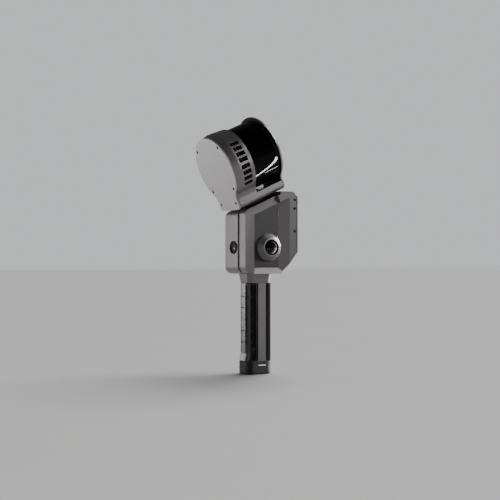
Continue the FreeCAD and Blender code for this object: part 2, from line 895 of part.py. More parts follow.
def motor_stator():
    """Twelve-slot stator on the carrier's tube."""
    body = on_turntable(new_body("motor_stator"))
    inner = size("bearing_radius") + CARRIER_WALL
    made = sketch(body, "XY_Plane", STATOR_LOW)
    circle(made, 0, 0, STATOR_RADIUS)
    circle(made, 0, 0, inner)
    pad(body, made, STATOR_HIGH - STATOR_LOW)
    slot = sketch(body, "XY_Plane", STATOR_HIGH)
    rectangle(slot, STATOR_RADIUS - SLOT_DEEP, STATOR_RADIUS + 1, -SLOT_HALF, SLOT_HALF)
    first = cut(body, slot, STATOR_HIGH - STATOR_LOW)
    repeat_round(body, first, "Z_Axis", 360, STATOR_SLOTS)
    return body


def rotor_bell():
    """Cup on the shaft's end that turns round the stator."""
    body = on_turntable(new_body("rotor_bell"))
    outer = size("bell_radius")
    turned(body, "XZ_Plane", [
        (size("shaft_radius"), SHAFT_END),
        (outer, SHAFT_END),
        (outer, STATOR_HIGH),
        (outer - BELL_WALL, STATOR_HIGH),
        (outer - BELL_WALL, SHAFT_END + BELL_FLOOR),
        (size("shaft_radius"), SHAFT_END + BELL_FLOOR),
    ], "V_Axis")
    return body


def rotor_magnets():
    """Fourteen curved magnets inside the bell."""
    body = on_turntable(new_body("rotor_magnets"))
    outer = size("bell_radius") - BELL_WALL
    made = sketch(body, "XY_Plane", STATOR_LOW)
    circle(made, 0, 0, outer)
    circle(made, 0, 0, outer - MAGNET_THICK)
    pad(body, made, STATOR_HIGH - STATOR_LOW)
    gap = sketch(body, "XY_Plane", STATOR_HIGH)
    rectangle(gap, outer - MAGNET_THICK - 1, outer + 1, -MAGNET_GAP_HALF, MAGNET_GAP_HALF)
    first = cut(body, gap, STATOR_HIGH - STATOR_LOW)
    repeat_round(body, first, "Z_Axis", 360, MAGNETS)
    return body


def slip_ring():
    """Turning half of the slip ring, inside the hollow shaft."""
    body = on_turntable(new_body("slip_ring"))
    made = sketch(body, "XY_Plane", SHAFT_END - RING_OUT)
    circle(made, 0, 0, size("shaft_radius") - SHAFT_WALL)
    pad(body, made, RING_LONG)
    return body


def slip_ring_brushes():
    """Fixed half of the slip ring on a bridge between the body's walls."""
    body = on_turntable(new_body("slip_ring_brushes"))
    drum = sketch(body, "XY_Plane", SHAFT_END - RING_OUT - BRUSH_GAP - BRUSH_LONG)
    circle(drum, 0, 0, BRUSH_RADIUS)
    pad(body, drum, BRUSH_LONG)
    bridge = sketch(body, "XY_Plane", SHAFT_END - RING_OUT - BRUSH_GAP - BRUSH_LONG - BRIDGE_THICK)
    half = size("cavity_half")
    rectangle(bridge, -half, half, -BRIDGE_HALF, BRIDGE_HALF)
    pad(body, bridge, BRIDGE_THICK)
    return body


RING_OUT = 3.0
RING_LONG = 22.0
BRUSH_GAP = 0.5
BRUSH_LONG = 7.5
BRUSH_RADIUS = 8.0
BRIDGE_THICK = 2.0
BRIDGE_HALF = 7.0


SIDE_SLOPE_RISE = 36.5
SIDE_SLOPE_RUN = 28.0
SLOPE_START = 26.0
SHOULDER_BACK = 45.0
SHOULDER_FRONT = 22.0
REAR_TOP = 283.0


def rear_low(back):
    """Height of the slanted rear underside at a place along the depth."""
    return size("body_floor") + (as_size(back) - SLOPE_START) * (SIDE_SLOPE_RISE / SIDE_SLOPE_RUN)


def rear_high(back):
    """Height of the slanted rear top edge at a place along the depth."""
    outer = size("body_rear") + size("rear_cover_thick")
    drop = (size("body_shoulder") - REAR_TOP) / (outer - SHOULDER_BACK)
    return size("body_shoulder") - (as_size(back) - SHOULDER_BACK) * drop


def side_width(back):
    """Half width of the body at a place along the depth: it widens evenly to the rear."""
    flare = (size("rim_half_rear") - size("rim_half_front")) / (size("body_rear") + size("front_face"))
    return size("rim_half_front") + (as_size(back) + size("front_face")) * flare


def trim_sides(body, front, back):
    """Cuts a body back to the widening sides."""
    low = size("body_floor") - 11
    made = sketch(body, "XY_Plane", low)
    for side in (-1, 1):
        polygon(made, [
            (side * side_width(front), front),
            (side * BEYOND, front),
            (side * BEYOND, back),
            (side * side_width(back), back),
        ])
    cut(body, made, size("body_shoulder") - low + 17, backwards=True)


SPINE_SEAT = 1.5
SPINE_HOOK = 2.0
SPINE_FOOT = 9.0
SPINE_HEAD = 7.0
SPINE_LOW_BACK = -29.0
SPINE_HIGH_BACK = -31.0
FRONT_FOOT_ROUND = 12.0
FRONT_HEAD_ROUND = 8.0


def spine_outline(made):
    """Side view of the front spine before its ends are rounded."""
    face = -size("front_face") - size("spine_proud")
    seat = SPINE_SEAT - size("front_face")
    floor = size("body_floor")
    polygon(made, [
        (face, floor),
        (SPINE_LOW_BACK, floor),
        (SPINE_LOW_BACK, floor + SPINE_HOOK),
        (seat, floor + SPINE_FOOT),
        (seat, deck_height(seat) - SPINE_HEAD),
        (SPINE_HIGH_BACK, deck_height(SPINE_HIGH_BACK) - SPINE_HOOK),
        (SPINE_HIGH_BACK, deck_height(SPINE_HIGH_BACK)),
        (face, deck_height(face)),
    ])


def round_front(body, face):
    """Rounds the foot and the head of a front face that reaches across the body."""
    low = number(size("body_floor")) + 9
    high = number(size("pivot_height")) - 26
    fillet(body, FRONT_FOOT_ROUND, lambda p, t: abs(t.x) > 0.9 and p.y < face + 1 and p.z < low)
    fillet(body, FRONT_HEAD_ROUND, lambda p, t: abs(t.x) > 0.9 and p.y < face + 1 and p.z > high)


def dish_outline(front, floor, back, top):
    """Side view of the dish at one depth: a four-cornered outline with a top parallel to the deck."""
    return [
        (front, floor),
        (back, floor),
        (back, deck_height(back) - top),
        (front, deck_height(front) - top),
    ]


DISH_FRONT = -22.0
DISH_BACK = 24.0
DISH_FLOOR = 171.0
DISH_TOP = 12.4
DISH_SPREAD = 14.0
SLOPE_FRONT = 5.5
SLOPE_LOW = 21.5
SLOPE_REAR = 17.8


def main_housing():
    """Hollow body: tilted deck, front rim, dished sides that flare to the rear, and an open back."""
    body = upright(new_body("main_housing"))
    front = -size("front_face")
    floor = size("body_floor")
    rear = size("body_rear")
    side = sketch(body, "YZ_Plane")
    polygon(side, [
        (front, floor),
        (SLOPE_START, floor),
        (rear, rear_low(rear)),
        (rear, rear_high(rear)),
        (SHOULDER_BACK, size("body_shoulder")),
        (SHOULDER_FRONT, size("body_shoulder")),
        (SHOULDER_FRONT, deck_height(SHOULDER_FRONT)),
        (front, deck_height(front)),
    ])
    pad(body, side, STOCK_WIDTH, both_ways=True)
    trim_sides(body, front - 2, rear + 1)
    round_front(body, number(front))
    deck_bevels(body)
    for hand in (-1, 1):
        dish(body, hand)
    cavity(body)
    spine_seat = sketch(body, "YZ_Plane")
    spine_outline(spine_seat)
    cut(body, spine_seat, size("spine_half") * 2, both_ways=True)
    deck_hole = sketch(body, "XY_Plane", tip=Placement(
        Vector(0, PIVOT_Y.number, PIVOT_Z.number), Rotation(Vector(1, 0, 0), TILT.number)))
    circle(deck_hole, 0, 0, CARRIER_RADIUS)
    cut(body, deck_hole, DECK_HOLE_DEPTH)
    for hand in (-1, 1):
        seat = sketch(body, "YZ_Plane", hand * (side_width(COVER_SCREW_BACK) + 1))
        for height in COVER_SCREWS:
            circle(seat, COVER_SCREW_BACK, height, COVER_HEAD + 0.05)
        cut(body, seat, 1 + COVER_SEAT, backwards=hand < 0)
        through = sketch(body, "YZ_Plane", hand * (side_width(COVER_SCREW_BACK) + 1))
        for height in COVER_SCREWS:
            circle(through, COVER_SCREW_BACK, height, SCREW_SHANK)
        cut(body, through, SIDE_DRILL, backwards=hand < 0)
    eyes = sketch(body, "YZ_Plane")
    circle(eyes, size("side_camera_back"), size("camera_height"), SIDE_BARREL)
    cut(body, eyes, size("panel_half") * 2 + 7, both_ways=True)
    holes(body, "XZ_Plane", size("front_face"), [(0, size("camera_height"))], FRONT_BARREL, SIDE_DRILL)
    middle = size("handle_centre")
    plug = sketch(body, "XY_Plane", floor)
    rectangle(plug, -PLUG_ROOM_WIDE, PLUG_ROOM_WIDE, middle - PLUG_ROOM_DEEP, middle + PLUG_ROOM_DEEP)
    cut(body, plug, FLOOR_THICK + 2, backwards=True)
    holes(body, "XY_Plane", floor, COLLAR_SCREWS, SCREW_SHANK + SCREW_PLAY, FLOOR_THICK + 2, True)
    return body


SIDE_BARREL = 11.5
FRONT_BARREL = 8.3
SIDE_DRILL = 8.0
DECK_HOLE_DEPTH = 14.0
FLOOR_THICK = 4.0
ROOF_THICK = 4.4
PLUG_ROOM_WIDE = 8.0
PLUG_ROOM_DEEP = 7.0
COLLAR_SCREWS = [(-11, -17), (11, -17), (-11, 13), (11, 13)]


def deck_bevels(body):
    """Slanted facets along both edges of the tilted deck, up to the rear shoulder."""
    tilt = Rotation(Vector(1, 0, 0), TILT.number)
    start = Vector(0, PIVOT_Z.number, -PIVOT_Y.number)
    back_off = tilt.multVec(Vector(0, 0, BEVEL_START))
    made = sketch(body, "XZ_Plane", tip=Placement(start + back_off, tilt))
    drop = (BEYOND - DECK_FLAT_HALF) * BEVEL_SLOPE
    for hand in (-1, 1):
        polygon(made, [
            (hand * (DECK_FLAT_HALF - 1 / BEVEL_SLOPE), 1),
            (hand * BEYOND, 1),
            (hand * BEYOND, -drop),
            (hand * DECK_FLAT_HALF, 0),
        ])
    cut(body, made, BEVEL_LONG)


DECK_FLAT_HALF = 30.0
BEVEL_SLOPE = 2.05
BEVEL_START = 50.0
BEVEL_LONG = 72.0


def dish(body, hand):
    """Hollow in one side: a flat floor, a slope to the rear and a slope at the bottom."""
    before = body.Shape.Volume
    inner = sketch(body, "YZ_Plane", hand * size("panel_half"))
    polygon(inner, dish_outline(DISH_FRONT, DISH_FLOOR, DISH_BACK, DISH_TOP))
    outer = sketch(body, "YZ_Plane", hand * (size("panel_half") + DISH_SPREAD))
    low = DISH_FLOOR - SLOPE_LOW
    polygon(outer, dish_outline(DISH_FRONT - SLOPE_FRONT, low, DISH_BACK + SLOPE_REAR, DISH_TOP))
    hollow = body.newObject("PartDesign::SubtractiveLoft", "dish")
    hollow.Profile = inner
    hollow.Sections = [outer]
    hollow.Ruled = True
    settle(hollow)
    check_removed(body, before)
    seat = sketch(body, "YZ_Plane", hand * size("panel_half"))
    polygon(seat, dish_outline(DISH_FRONT, DISH_FLOOR, DISH_BACK, DISH_TOP))
    cut(body, seat, size("panel_thick"), backwards=hand < 0)
    eye = [(size("side_camera_back"), size("camera_height"))]
    holes(body, "YZ_Plane", hand * size("panel_half"), eye, BOSS_RADIUS + 0.2, DISH_SPREAD, hand > 0)


MOUTH_HALF = 36.0
MOUTH_LOW = 203.0
MOUTH_HIGH = 283.5


def cavity(body):
    """Room inside for the cameras, the turntable and the boards, open at the back."""
    rear = size("body_rear")
    floor = size("body_floor") + FLOOR_THICK
    front = size("wall") + 0.5 - size("front_face")
    inside_shoulder = size("body_shoulder") - FLOOR_THICK
    room = sketch(body, "YZ_Plane")
    polygon(room, [
        (front, floor),
        (SLOPE_START - 2, floor),
        (rear + 1, rear_low(rear + 1) + FLOOR_THICK + 1),
        (rear + 1, rear_high(rear + 1) - FLOOR_THICK),
        (SHOULDER_BACK - 1, inside_shoulder),
        (SHOULDER_FRONT + FLOOR_THICK, inside_shoulder),
        (SHOULDER_FRONT + 2, deck_height(SHOULDER_FRONT) - ROOF_THICK),
        (front, deck_height(front) - ROOF_THICK),
    ])
    cut(body, room, size("cavity_half") * 2, both_ways=True)
    mouth = sketch(body, "XZ_Plane", -rear)
    rectangle(mouth, -MOUTH_HALF, MOUTH_HALF, MOUTH_LOW, MOUTH_HIGH)
    cut(body, mouth, SIDE_DRILL, backwards=True)


def front_spine():
    """Plain cover down the middle of the front, with the camera's hole."""
    body = upright(new_body("front_spine"))
    made = sketch(body, "YZ_Plane")
    spine_outline(made)
    pad(body, made, size("spine_half") * 2, both_ways=True)
    face = -number(size("front_face") + size("spine_proud"))
    round_front(body, face)
    chamfer(body, SPINE_BEVEL, lambda p, t: abs(t.z) > 0.99 and p.y < face + 0.5)
    front = size("front_face") + size("spine_proud")
    holes(body, "XZ_Plane", front, [(0, size("camera_height"))], FRONT_BARREL, SPINE_SEAT + 4.5)
    return body


SPINE_BEVEL = 0.8


def side_panel(label, hand):
    """Cover on the dish's floor, with the domed boss of the fisheye camera."""
    body = upright(new_body(label))
    seat = size("panel_half") - size("panel_thick")
    made = sketch(body, "YZ_Plane", hand * seat)
    gap = 0.2
    polygon(made, dish_outline(DISH_FRONT + gap, DISH_FLOOR + gap, DISH_BACK - gap, DISH_TOP + gap))
    pad(body, made, size("panel_thick"), backwards=hand < 0)
    boss = sketch(body, "YZ_Plane", hand * size("panel_half"))
    circle(boss, size("side_camera_back"), size("camera_height"), BOSS_RADIUS)
    pad(body, boss, BOSS_REACH, backwards=hand < 0)
    tip = number(size("panel_half")) + BOSS_REACH
    chamfer(body, BOSS_REACH - BOSS_FOOT, lambda p, t: abs(p.x) > tip - 0.1)
    fillet(body, BOSS_ROUND, lambda p, t: abs(p.x) > tip - 0.1)
    bore = sketch(body, "YZ_Plane", hand * (size("panel_half") + BOSS_REACH))
    circle(bore, size("side_camera_back"), size("camera_height"), SIDE_BARREL)
    cut(body, bore, 2 * BOSS_REACH, backwards=hand < 0)
    return body


BOSS_REACH = 9.5
BOSS_FOOT = 1.5
BOSS_ROUND = 3.0
BOSS_RADIUS = 22.0
SIDE_LENS = 10.8
SIDE_LENS_RISE = 5.0
LENS_FOOT = 1.5
SENSOR_FACE = 16.0
SENSOR_BARREL = 8.0
BARREL_STEP = 22.0


def side_camera(prefix, turn):
    """Fisheye camera: bezel ring, glass dome and barrel, looking along the frame's own X."""
    back = size("side_camera_back")
    height = size("camera_height")
    top = size("panel_half") + BOSS_REACH
    bezel = upright(new_body(f"{prefix}_camera_bezel"), 0, back, height, turn)
    turned(bezel, "XZ_Plane", [
        (top, SIDE_LENS + 0.1), (top, SIDE_LENS + 2), (top + 0.8, SIDE_LENS + 2),
        (top + 1.8, SIDE_LENS + 1.1), (top + 1.8, SIDE_LENS + 0.6), (top + 0.8, SIDE_LENS + 0.1),
    ])
    lens = upright(new_body(f"{prefix}_camera_lens"), 0, back, height, turn)
    dome = sketch(lens, "XZ_Plane")
    dome_profile(dome, top - LENS_FOOT, top + 0.4, SIDE_LENS, SIDE_LENS_RISE)
    revolve(lens, dome)
    barrel = upright(new_body(f"{prefix}_camera_barrel"), 0, back, height, turn)
    turned(barrel, "XZ_Plane", [
        (SENSOR_FACE, 0), (SENSOR_FACE, SENSOR_BARREL), (BARREL_STEP, SENSOR_BARREL),
        (BARREL_STEP, SIDE_BARREL), (top - LENS_FOOT, SIDE_BARREL), (top - LENS_FOOT, 0),
    ])


def dome_profile(made, foot, rim, radius, rise):
    """Half section of a lens: a short round foot and a dome that rises from its rim."""
    high = number(rim) + rise
    reach = (radius * radius + rise * rise) / (2 * rise)
    centre = high - reach
    half = math.asin(radius / reach) / 2
    middle = Vector(centre + reach * math.cos(half), reach * math.sin(half), 0)
    corners = [Vector(high, 0, 0), Vector(number(foot), 0, 0), Vector(number(foot), radius, 0),
               Vector(number(rim), radius, 0)]
    for start, end in zip(corners, corners[1:]):
        made.addGeometry(Part.LineSegment(start, end), False)
    made.addGeometry(Part.Arc(corners[3], middle, corners[0]), False)
    for i in range(2):
        made.addConstraint(Sketcher.Constraint("Coincident", i, 2, i + 1, 1))
    for i in range(4):
        made.addConstraint(Sketcher.Constraint("Block", i))


def front_camera():
    """Front camera: ring, small lens and barrel, looking along -Y."""
    height = size("camera_height")
    face = size("front_face") + size("spine_proud")
    bezel = upright(new_body("front_camera_bezel"), 0, 0, height, -90)
    turned(bezel, "XZ_Plane", [
        (face, FRONT_BARREL + 0.1), (face, 10.4), (face + 1.6, 10.4), (face + 2.3, 9.7),
        (face + 2.3, 8.9), (face + 0.6, 7.8), (face, 7.8),
    ])
    barrel = upright(new_body("front_camera_barrel"), 0, 0, height, -90)
    turned(barrel, "XZ_Plane", [
        (FRONT_SENSOR, 0), (FRONT_SENSOR, FRONT_BARREL), (face, FRONT_BARREL), (face, FRONT_FUNNEL),
        (face - LENS_FOOT, FRONT_LENS + 0.1), (face - LENS_FOOT, 0),
    ])
    lens = upright(new_body("front_camera_lens"), 0, 0, height, -90)
    dome = sketch(lens, "XZ_Plane")
    dome_profile(dome, face - LENS_FOOT, face - 0.9, FRONT_LENS, FRONT_LENS_RISE)
    revolve(lens, dome)


FRONT_SENSOR = 24.0
FRONT_FUNNEL = 7.7
FRONT_LENS = 4.3
FRONT_LENS_RISE = 1.5
SENSOR_BOARD_HALF = 12.0


def camera_boards():
    """The three image sensor boards behind the barrels."""
    body = upright(new_body("camera_boards"))
    back = size("side_camera_back")
    height = size("camera_height")
    for hand in (-1, 1):
        made = sketch(body, "YZ_Plane", hand * SENSOR_FACE)
        board_square(made, back, height)
        pad(body, made, BOARD_THICK, backwards=hand > 0)
    made = sketch(body, "XZ_Plane", FRONT_SENSOR)
    board_square(made, 0, height)
    pad(body, made, BOARD_THICK, backwards=True)
    return body


def board_square(made, across, up):
    """Outline of a sensor board round its middle."""
    half = SENSOR_BOARD_HALF
    rectangle(made, as_size(across) - half, as_size(across) + half, up - half, up + half)


def rear_cover():
    """Back of the body: slanted top and bottom edges, a skirt inside, and places for button and ports."""
    body = upright(new_body("rear_cover"))
    near = size("body_rear")
    far = near + size("rear_cover_thick")
    side = sketch(body, "YZ_Plane")
    polygon(side, [
        (near, rear_low(near)), (far, rear_low(far)), (far, rear_high(far)), (near, rear_high(near)),
    ])
    pad(body, side, STOCK_WIDTH, both_ways=True)
    trim_sides(body, near - 2, far + 2)
    edge = number(far)
    fillet(body, COVER_ROUND, lambda p, t: abs(t.z) > 0.99 and p.y > edge - 0.1)
    skirt = sketch(body, "XZ_Plane", -near)
    outer = MOUTH_HALF - 0.1
    rectangle(skirt, -outer, outer, MOUTH_LOW + 0.1, MOUTH_HIGH - 0.1)
    rectangle(skirt, -SKIRT_INNER, SKIRT_INNER, MOUTH_LOW + 3, MOUTH_HIGH - 4.5)
    pad(body, skirt, SKIRT_DEEP)
    holes(body, "XZ_Plane", -far, [(0, BUTTON_HEIGHT)], BUTTON_RADIUS + 0.3, 6, True)
    ring = sketch(body, "XZ_Plane", -far)
    circle(ring, 0, BUTTON_HEIGHT, RING_OUTER)
    circle(ring, 0, BUTTON_HEIGHT, RING_INNER)
    cut(body, ring, RING_DEEP, backwards=True)
    port = sketch(body, "XZ_Plane", -far)
    wide = DOOR_HALF + DOOR_GAP
    rectangle(port, -wide, wide, DOOR_LOW - DOOR_GAP, DOOR_HIGH + DOOR_GAP)
    cut(body, port, DOOR_THICK + 0.1, backwards=True)
    sockets = sketch(body, "XZ_Plane", -far)
    rectangle(sockets, -SOCKET_ROOM, SOCKET_ROOM, DOOR_LOW + 3, DOOR_HIGH - 3)
    cut(body, sockets, SIDE_DRILL, backwards=True)
    pin = sketch(body, "YZ_Plane")
    circle(pin, DOOR_PIN_BACK, DOOR_PIN_HEIGHT, DOOR_PIN)
    cut(body, pin, 2 * (DOOR_HALF + 2), both_ways=True)
    for hand in (-1, 1):
        seat = sketch(body, "YZ_Plane", hand * (SKIRT_INNER - 2.5))
        for height in COVER_SCREWS:
            circle(seat, COVER_SCREW_BACK, height, SCREW_SHANK)
        cut(body, seat, 10, backwards=hand > 0)
    return body


COVER_ROUND = 2.5
SKIRT_DEEP = 7.0
RING_INNER = 8.0
RING_OUTER = 9.6
RING_DEEP = 1.5
BUTTON_RADIUS = 6.0
BUTTON_FLANGE = 7.3
BUTTON_HEIGHT = 258.0
SOCKET_ROOM = 15.0
DOOR_GAP = 0.4
DOOR_THICK = 2.4
DOOR_HALF = 19.0
DOOR_LOW = 210.0
DOOR_HIGH = 230.0
DOOR_PIN = 0.8
DOOR_PIN_BACK = 52.8
DOOR_PIN_HEIGHT = 211.2
SKIRT_INNER = 32.5
COVER_SCREWS = (229.3, 266.0, 279.8)
COVER_SCREW_BACK = 47.3
COVER_SEAT = 1.9
COVER_HEAD = 2.0
COVER_HEAD_HIGH = 1.6
COVER_SHANK_LONG = 5.0
COVER_SOCKET = 1.1


def rear_cover_screws():
    """Three screws a side that hold the rear cover's skirt."""
    body = upright(new_body("rear_cover_screws"))
    spots = [(COVER_SCREW_BACK, height) for height in COVER_SCREWS]
    face = side_width(COVER_SCREW_BACK)
    top = face - COVER_SEAT + COVER_HEAD_HIGH
    for hand in (-1, 1):
        heads = sketch(body, "YZ_Plane", hand * top)
        for y, z in spots:
            circle(heads, y, z, COVER_HEAD)
        pad(body, heads, COVER_HEAD_HIGH, backwards=hand > 0)
        shanks = sketch(body, "YZ_Plane", hand * (face - COVER_SEAT))
        for y, z in spots:
            circle(shanks, y, z, SCREW_SHANK)
        pad(body, shanks, COVER_SHANK_LONG, backwards=hand > 0)
        sockets = sketch(body, "YZ_Plane", hand * top)
        for y, z in spots:
            circle(sockets, y, z, COVER_SOCKET)
        cut(body, sockets, COVER_SOCKET, backwards=hand < 0)
    return body


def power_button():
    """Round button in the rear cover, with a flange that keeps it in."""
    body = upright(new_body("power_button"), 0, 0, BUTTON_HEIGHT, 90)
    near = size("body_rear")
    top = near + size("rear_cover_thick") + BUTTON_PROUD
    turned(body, "XZ_Plane", [
        (near - 1.1, 0),
        (near - 1.1, BUTTON_FLANGE),
        (near - 0.2, BUTTON_FLANGE),
        (near - 0.2, BUTTON_RADIUS),
        (top - BUTTON_BEVEL, BUTTON_RADIUS),
        (top, BUTTON_RADIUS - BUTTON_BEVEL),
        (top, 0),
    ])
    return body


BUTTON_PROUD = 0.8
BUTTON_BEVEL = 0.6
SKIRT_BOARD = 6.5
SKIRT_BOARD_THICK = 1.2
SWITCH_HIGH = 3.2


def power_switch():
    """Small board across the skirt with the switch that the button presses."""
    body = upright(new_body("power_switch"))
    near = size("body_rear")
    board = sketch(body, "XZ_Plane", SKIRT_BOARD - near)
    rectangle(board, -SKIRT_INNER, SKIRT_INNER, BUTTON_HEIGHT - 7, BUTTON_HEIGHT + 7)
    pad(body, board, SKIRT_BOARD_THICK)
    case = sketch(body, "XZ_Plane", SKIRT_BOARD - near)
    rectangle(case, -4, 4, BUTTON_HEIGHT - 4, BUTTON_HEIGHT + 4)
    pad(body, case, SWITCH_HIGH, backwards=True)
    plunger = sketch(body, "XZ_Plane", SKIRT_BOARD - SWITCH_HIGH - near)
    circle(plunger, 0, BUTTON_HEIGHT, 2)
    pad(body, plunger, 1.2, backwards=True)
    return body


def status_ring():
    """Light ring round the button."""
    body = upright(new_body("status_ring"), 0, 0, BUTTON_HEIGHT, 90)
    far = size("body_rear") + size("rear_cover_thick")
    turned(body, "XZ_Plane", [
        (far - RING_DEEP, RING_INNER), (far, RING_INNER), (far, RING_OUTER), (far - RING_DEEP, RING_OUTER),
    ])
    return body


def port_door():
    """Hinged cover over the sockets: round lower edge about the pin, a finger lip at the top."""
    body = upright(new_body("port_door"), 0, DOOR_PIN_BACK, DOOR_PIN_HEIGHT, 0)
    made = sketch(body, "YZ_Plane")
    top = DOOR_HIGH - DOOR_PIN_HEIGHT
    half = DOOR_THICK / 2
    rectangle(made, -half, half, -half, top)
    pad(body, made, 2 * DOOR_HALF, both_ways=True)
    fillet(body, half - 0.05, lambda p, t: abs(t.x) > 0.9 and p.z < -1)
    fillet(body, 2, lambda p, t: abs(t.y) > 0.9 and p.z > top - 0.1)
    knuckle = sketch(body, "YZ_Plane")
    circle(knuckle, 0, 0, DOOR_PIN + 0.05)
    cut(body, knuckle, 2 * DOOR_HALF, both_ways=True)
    lip = sketch(body, "XZ_Plane", -half)
    rectangle(lip, -LIP_HALF, LIP_HALF, top - 3.4, top - 1.6)
    cut(body, lip, LIP_DEEP, backwards=True)
    return body


LIP_HALF = 6.0
LIP_DEEP = 0.8


def port_door_pin():
    """Pin of the port door, held in the rear cover."""
    body = upright(new_body("port_door_pin"), 0, DOOR_PIN_BACK, DOOR_PIN_HEIGHT, 0)
    made = sketch(body, "YZ_Plane")
    circle(made, 0, 0, DOOR_PIN)
    pad(body, made, 2 * (DOOR_HALF + 1.8), both_ways=True)
    return body


def data_sockets():
    """Two sockets on a small board across the skirt."""
    body = upright(new_body("data_sockets"))
    near = size("body_rear")
    middle = (DOOR_LOW + DOOR_HIGH) / 2
    board = sketch(body, "XZ_Plane", SKIRT_BOARD - near)
    rectangle(board, -SKIRT_INNER, SKIRT_INNER, DOOR_LOW + 1, DOOR_HIGH - 1)
    pad(body, board, SKIRT_BOARD_THICK)
    block = sketch(body, "XZ_Plane", SKIRT_BOARD - near)
    half = SOCKET_ROOM - 0.2
    rectangle(block, -half, half, DOOR_LOW + 3.2, DOOR_HIGH - 3.2)
    pad(body, block, SOCKET_BLOCK, backwards=True)
    mouths = sketch(body, "XZ_Plane", SKIRT_BOARD - SOCKET_BLOCK - near)
    rectangle(mouths, -11, -2, middle - 1.7, middle + 1.7)
    circle(mouths, 7, middle, 3.6)
    cut(body, mouths, MOUTH_DEEP, backwards=True)
    return body


SOCKET_BLOCK = 7.0
MOUTH_DEEP = 6.0


def main_board():
    """Main circuit board across the body, with its processor and memory."""
    body = upright(new_body("main_board"))
    half = size("cavity_half")
    board = sketch(body, "XZ_Plane", -BOARD_BACK)
    rectangle(board, -half, half, 184, 232)
    pad(body, board, BOARD_THICK)
    chips = sketch(body, "XZ_Plane", BOARD_THICK - BOARD_BACK)
    for left, right, low, high in MAIN_CHIPS:
        rectangle(chips, left, right, low, high)
    pad(body, chips, CHIP_THICK)
    return body


BOARD_BACK = 35.6
MAIN_CHIPS = [(-18, -4, 200, 214), (2, 12, 204, 212), (2, 18, 190, 198)]
SPREADER_THICK = 5.4
COOLING_GAPS = 6
COOLING_GAP = 3.4
COOLING_PITCH = 6.6


def heat_spreader():
    """Finned plate behind the main board."""
    body = upright(new_body("heat_spreader"))
    plate = sketch(body, "XZ_Plane", -BOARD_BACK)
    rectangle(plate, -22, 22, 190, 230)
    pad(body, plate, SPREADER_THICK, backwards=True)
    gaps = sketch(body, "XZ_Plane", -BOARD_BACK - SPREADER_THICK)
    for i in range(COOLING_GAPS):
        left = COOLING_PITCH * (i - (COOLING_GAPS - 1) / 2) - COOLING_GAP / 2
        rectangle(gaps, left, left + COOLING_GAP, 189, 231)
    cut(body, gaps, COOLING_GAP, backwards=True)
    return body


def motion_sensor():
    """Inertial sensor block on the body's floor."""
    block = DOC.addObject("Part::Box", "motion_sensor")
    block.Label = "motion_sensor"
    block.Length = 16
    block.Width = 12
    block.Height = 5
    floor = size("body_floor") + FLOOR_THICK
    block.Placement = Placement(Vector(-8, -31, floor.number), Rotation())
    bind(block, "Placement.Base.z", floor)
    NODES.append(block)
    return block


def rounded_pad(body, low, high, half_wide, front, back, corner):
    """A block with rounded upright corners."""
    made = sketch(body, "XY_Plane", low)
    rounded_rectangle(made, -as_size(half_wide), half_wide, front, back, corner)
    return pad(body, made, as_size(high) - low)


RUBBER_PLAY = 0.2
STRIP_SHIFT = 2.3
STRIP_FLARE = 2.2
STRIP_TAPER = 3.0


def in_handle(body):
    """Places a body in the middle of the handle."""
    return upright(body, 0, size("handle_centre"), 0)


COLLAR_FOOT = (-15.6, 15.6, -22.4, 20, 9)
COLLAR_TOP = (-18.5, 18.5, -25, 22, 10)


def flared_collar(body):
    """Top of the handle, wider where it meets the body."""
    foot = sketch(body, "XY_Plane", size("collar_bottom"))
    rounded_rectangle(foot, *COLLAR_FOOT)
    top = sketch(body, "XY_Plane", size("body_floor"))
    rounded_rectangle(top, *COLLAR_TOP)
    flared = body.newObject("PartDesign::AdditiveLoft", "collar")
    flared.Profile = foot
    flared.Sections = [top]
    flared.Ruled = True
    settle(flared)


def handle_frame():
    """Metal spine of the handle: cell tube, side strips and the flared collar under the body."""
    body = in_handle(new_body("handle_frame"))
    cap = size("cap_height")
    collar = size("collar_bottom")
    rubber = size("rubber_thick") + RUBBER_PLAY
    half = size("grip_half_depth") - rubber
    flared_collar(body)
    rounded_pad(body, cap, collar, size("grip_half_width") - rubber, -half, half, CORE_CORNER)
    strips = sketch(body, "YZ_Plane")
    half_strip = size("strip_half")
    rectangle(strips, STRIP_SHIFT - half_strip, STRIP_SHIFT + half_strip, cap, collar)
    pad(body, strips, size("grip_half_width") * 2, both_ways=True)
    for end, tip in ((cap, STRIP_TAPER), (collar, -STRIP_TAPER)):
        flare = sketch(body, "YZ_Plane")
        wide = half_strip + STRIP_FLARE
        polygon(flare, [
            (STRIP_SHIFT - wide, end), (STRIP_SHIFT - half_strip, end + tip),
            (STRIP_SHIFT + half_strip, end + tip), (STRIP_SHIFT + wide, end),
        ])
        pad(body, flare, size("grip_half_width") * 2 - 0.4, both_ways=True)
    room = sketch(body, "XY_Plane", cap)
    rounded_rectangle(room, *CELL_ROOM)
    cut(body, room, CELL_ROOM_LONG, backwards=True)
    way = sketch(body, "XY_Plane", size("body_floor"))
    rectangle(way, -PLUG_ROOM_WIDE, PLUG_ROOM_WIDE, -PLUG_ROOM_DEEP, PLUG_ROOM_DEEP)
    cut(body, way, size("body_floor") - size("collar_bottom") + 5)
    spots = [(x, y - DRIVING_SIZES["handle_centre"]) for x, y in COLLAR_SCREWS]
    holes(body, "XY_Plane", size("body_floor"), spots, SCREW_SHANK, COLLAR_DRILL)
    return body


CORE_CORNER = 8.0
CELL_ROOM = (-9.35, 9.35, -18.7, 18.7, 5.0)
CELL_ROOM_LONG = 130.0
CELL_OFFSET = 9.3
COLLAR_DRILL = 9.0


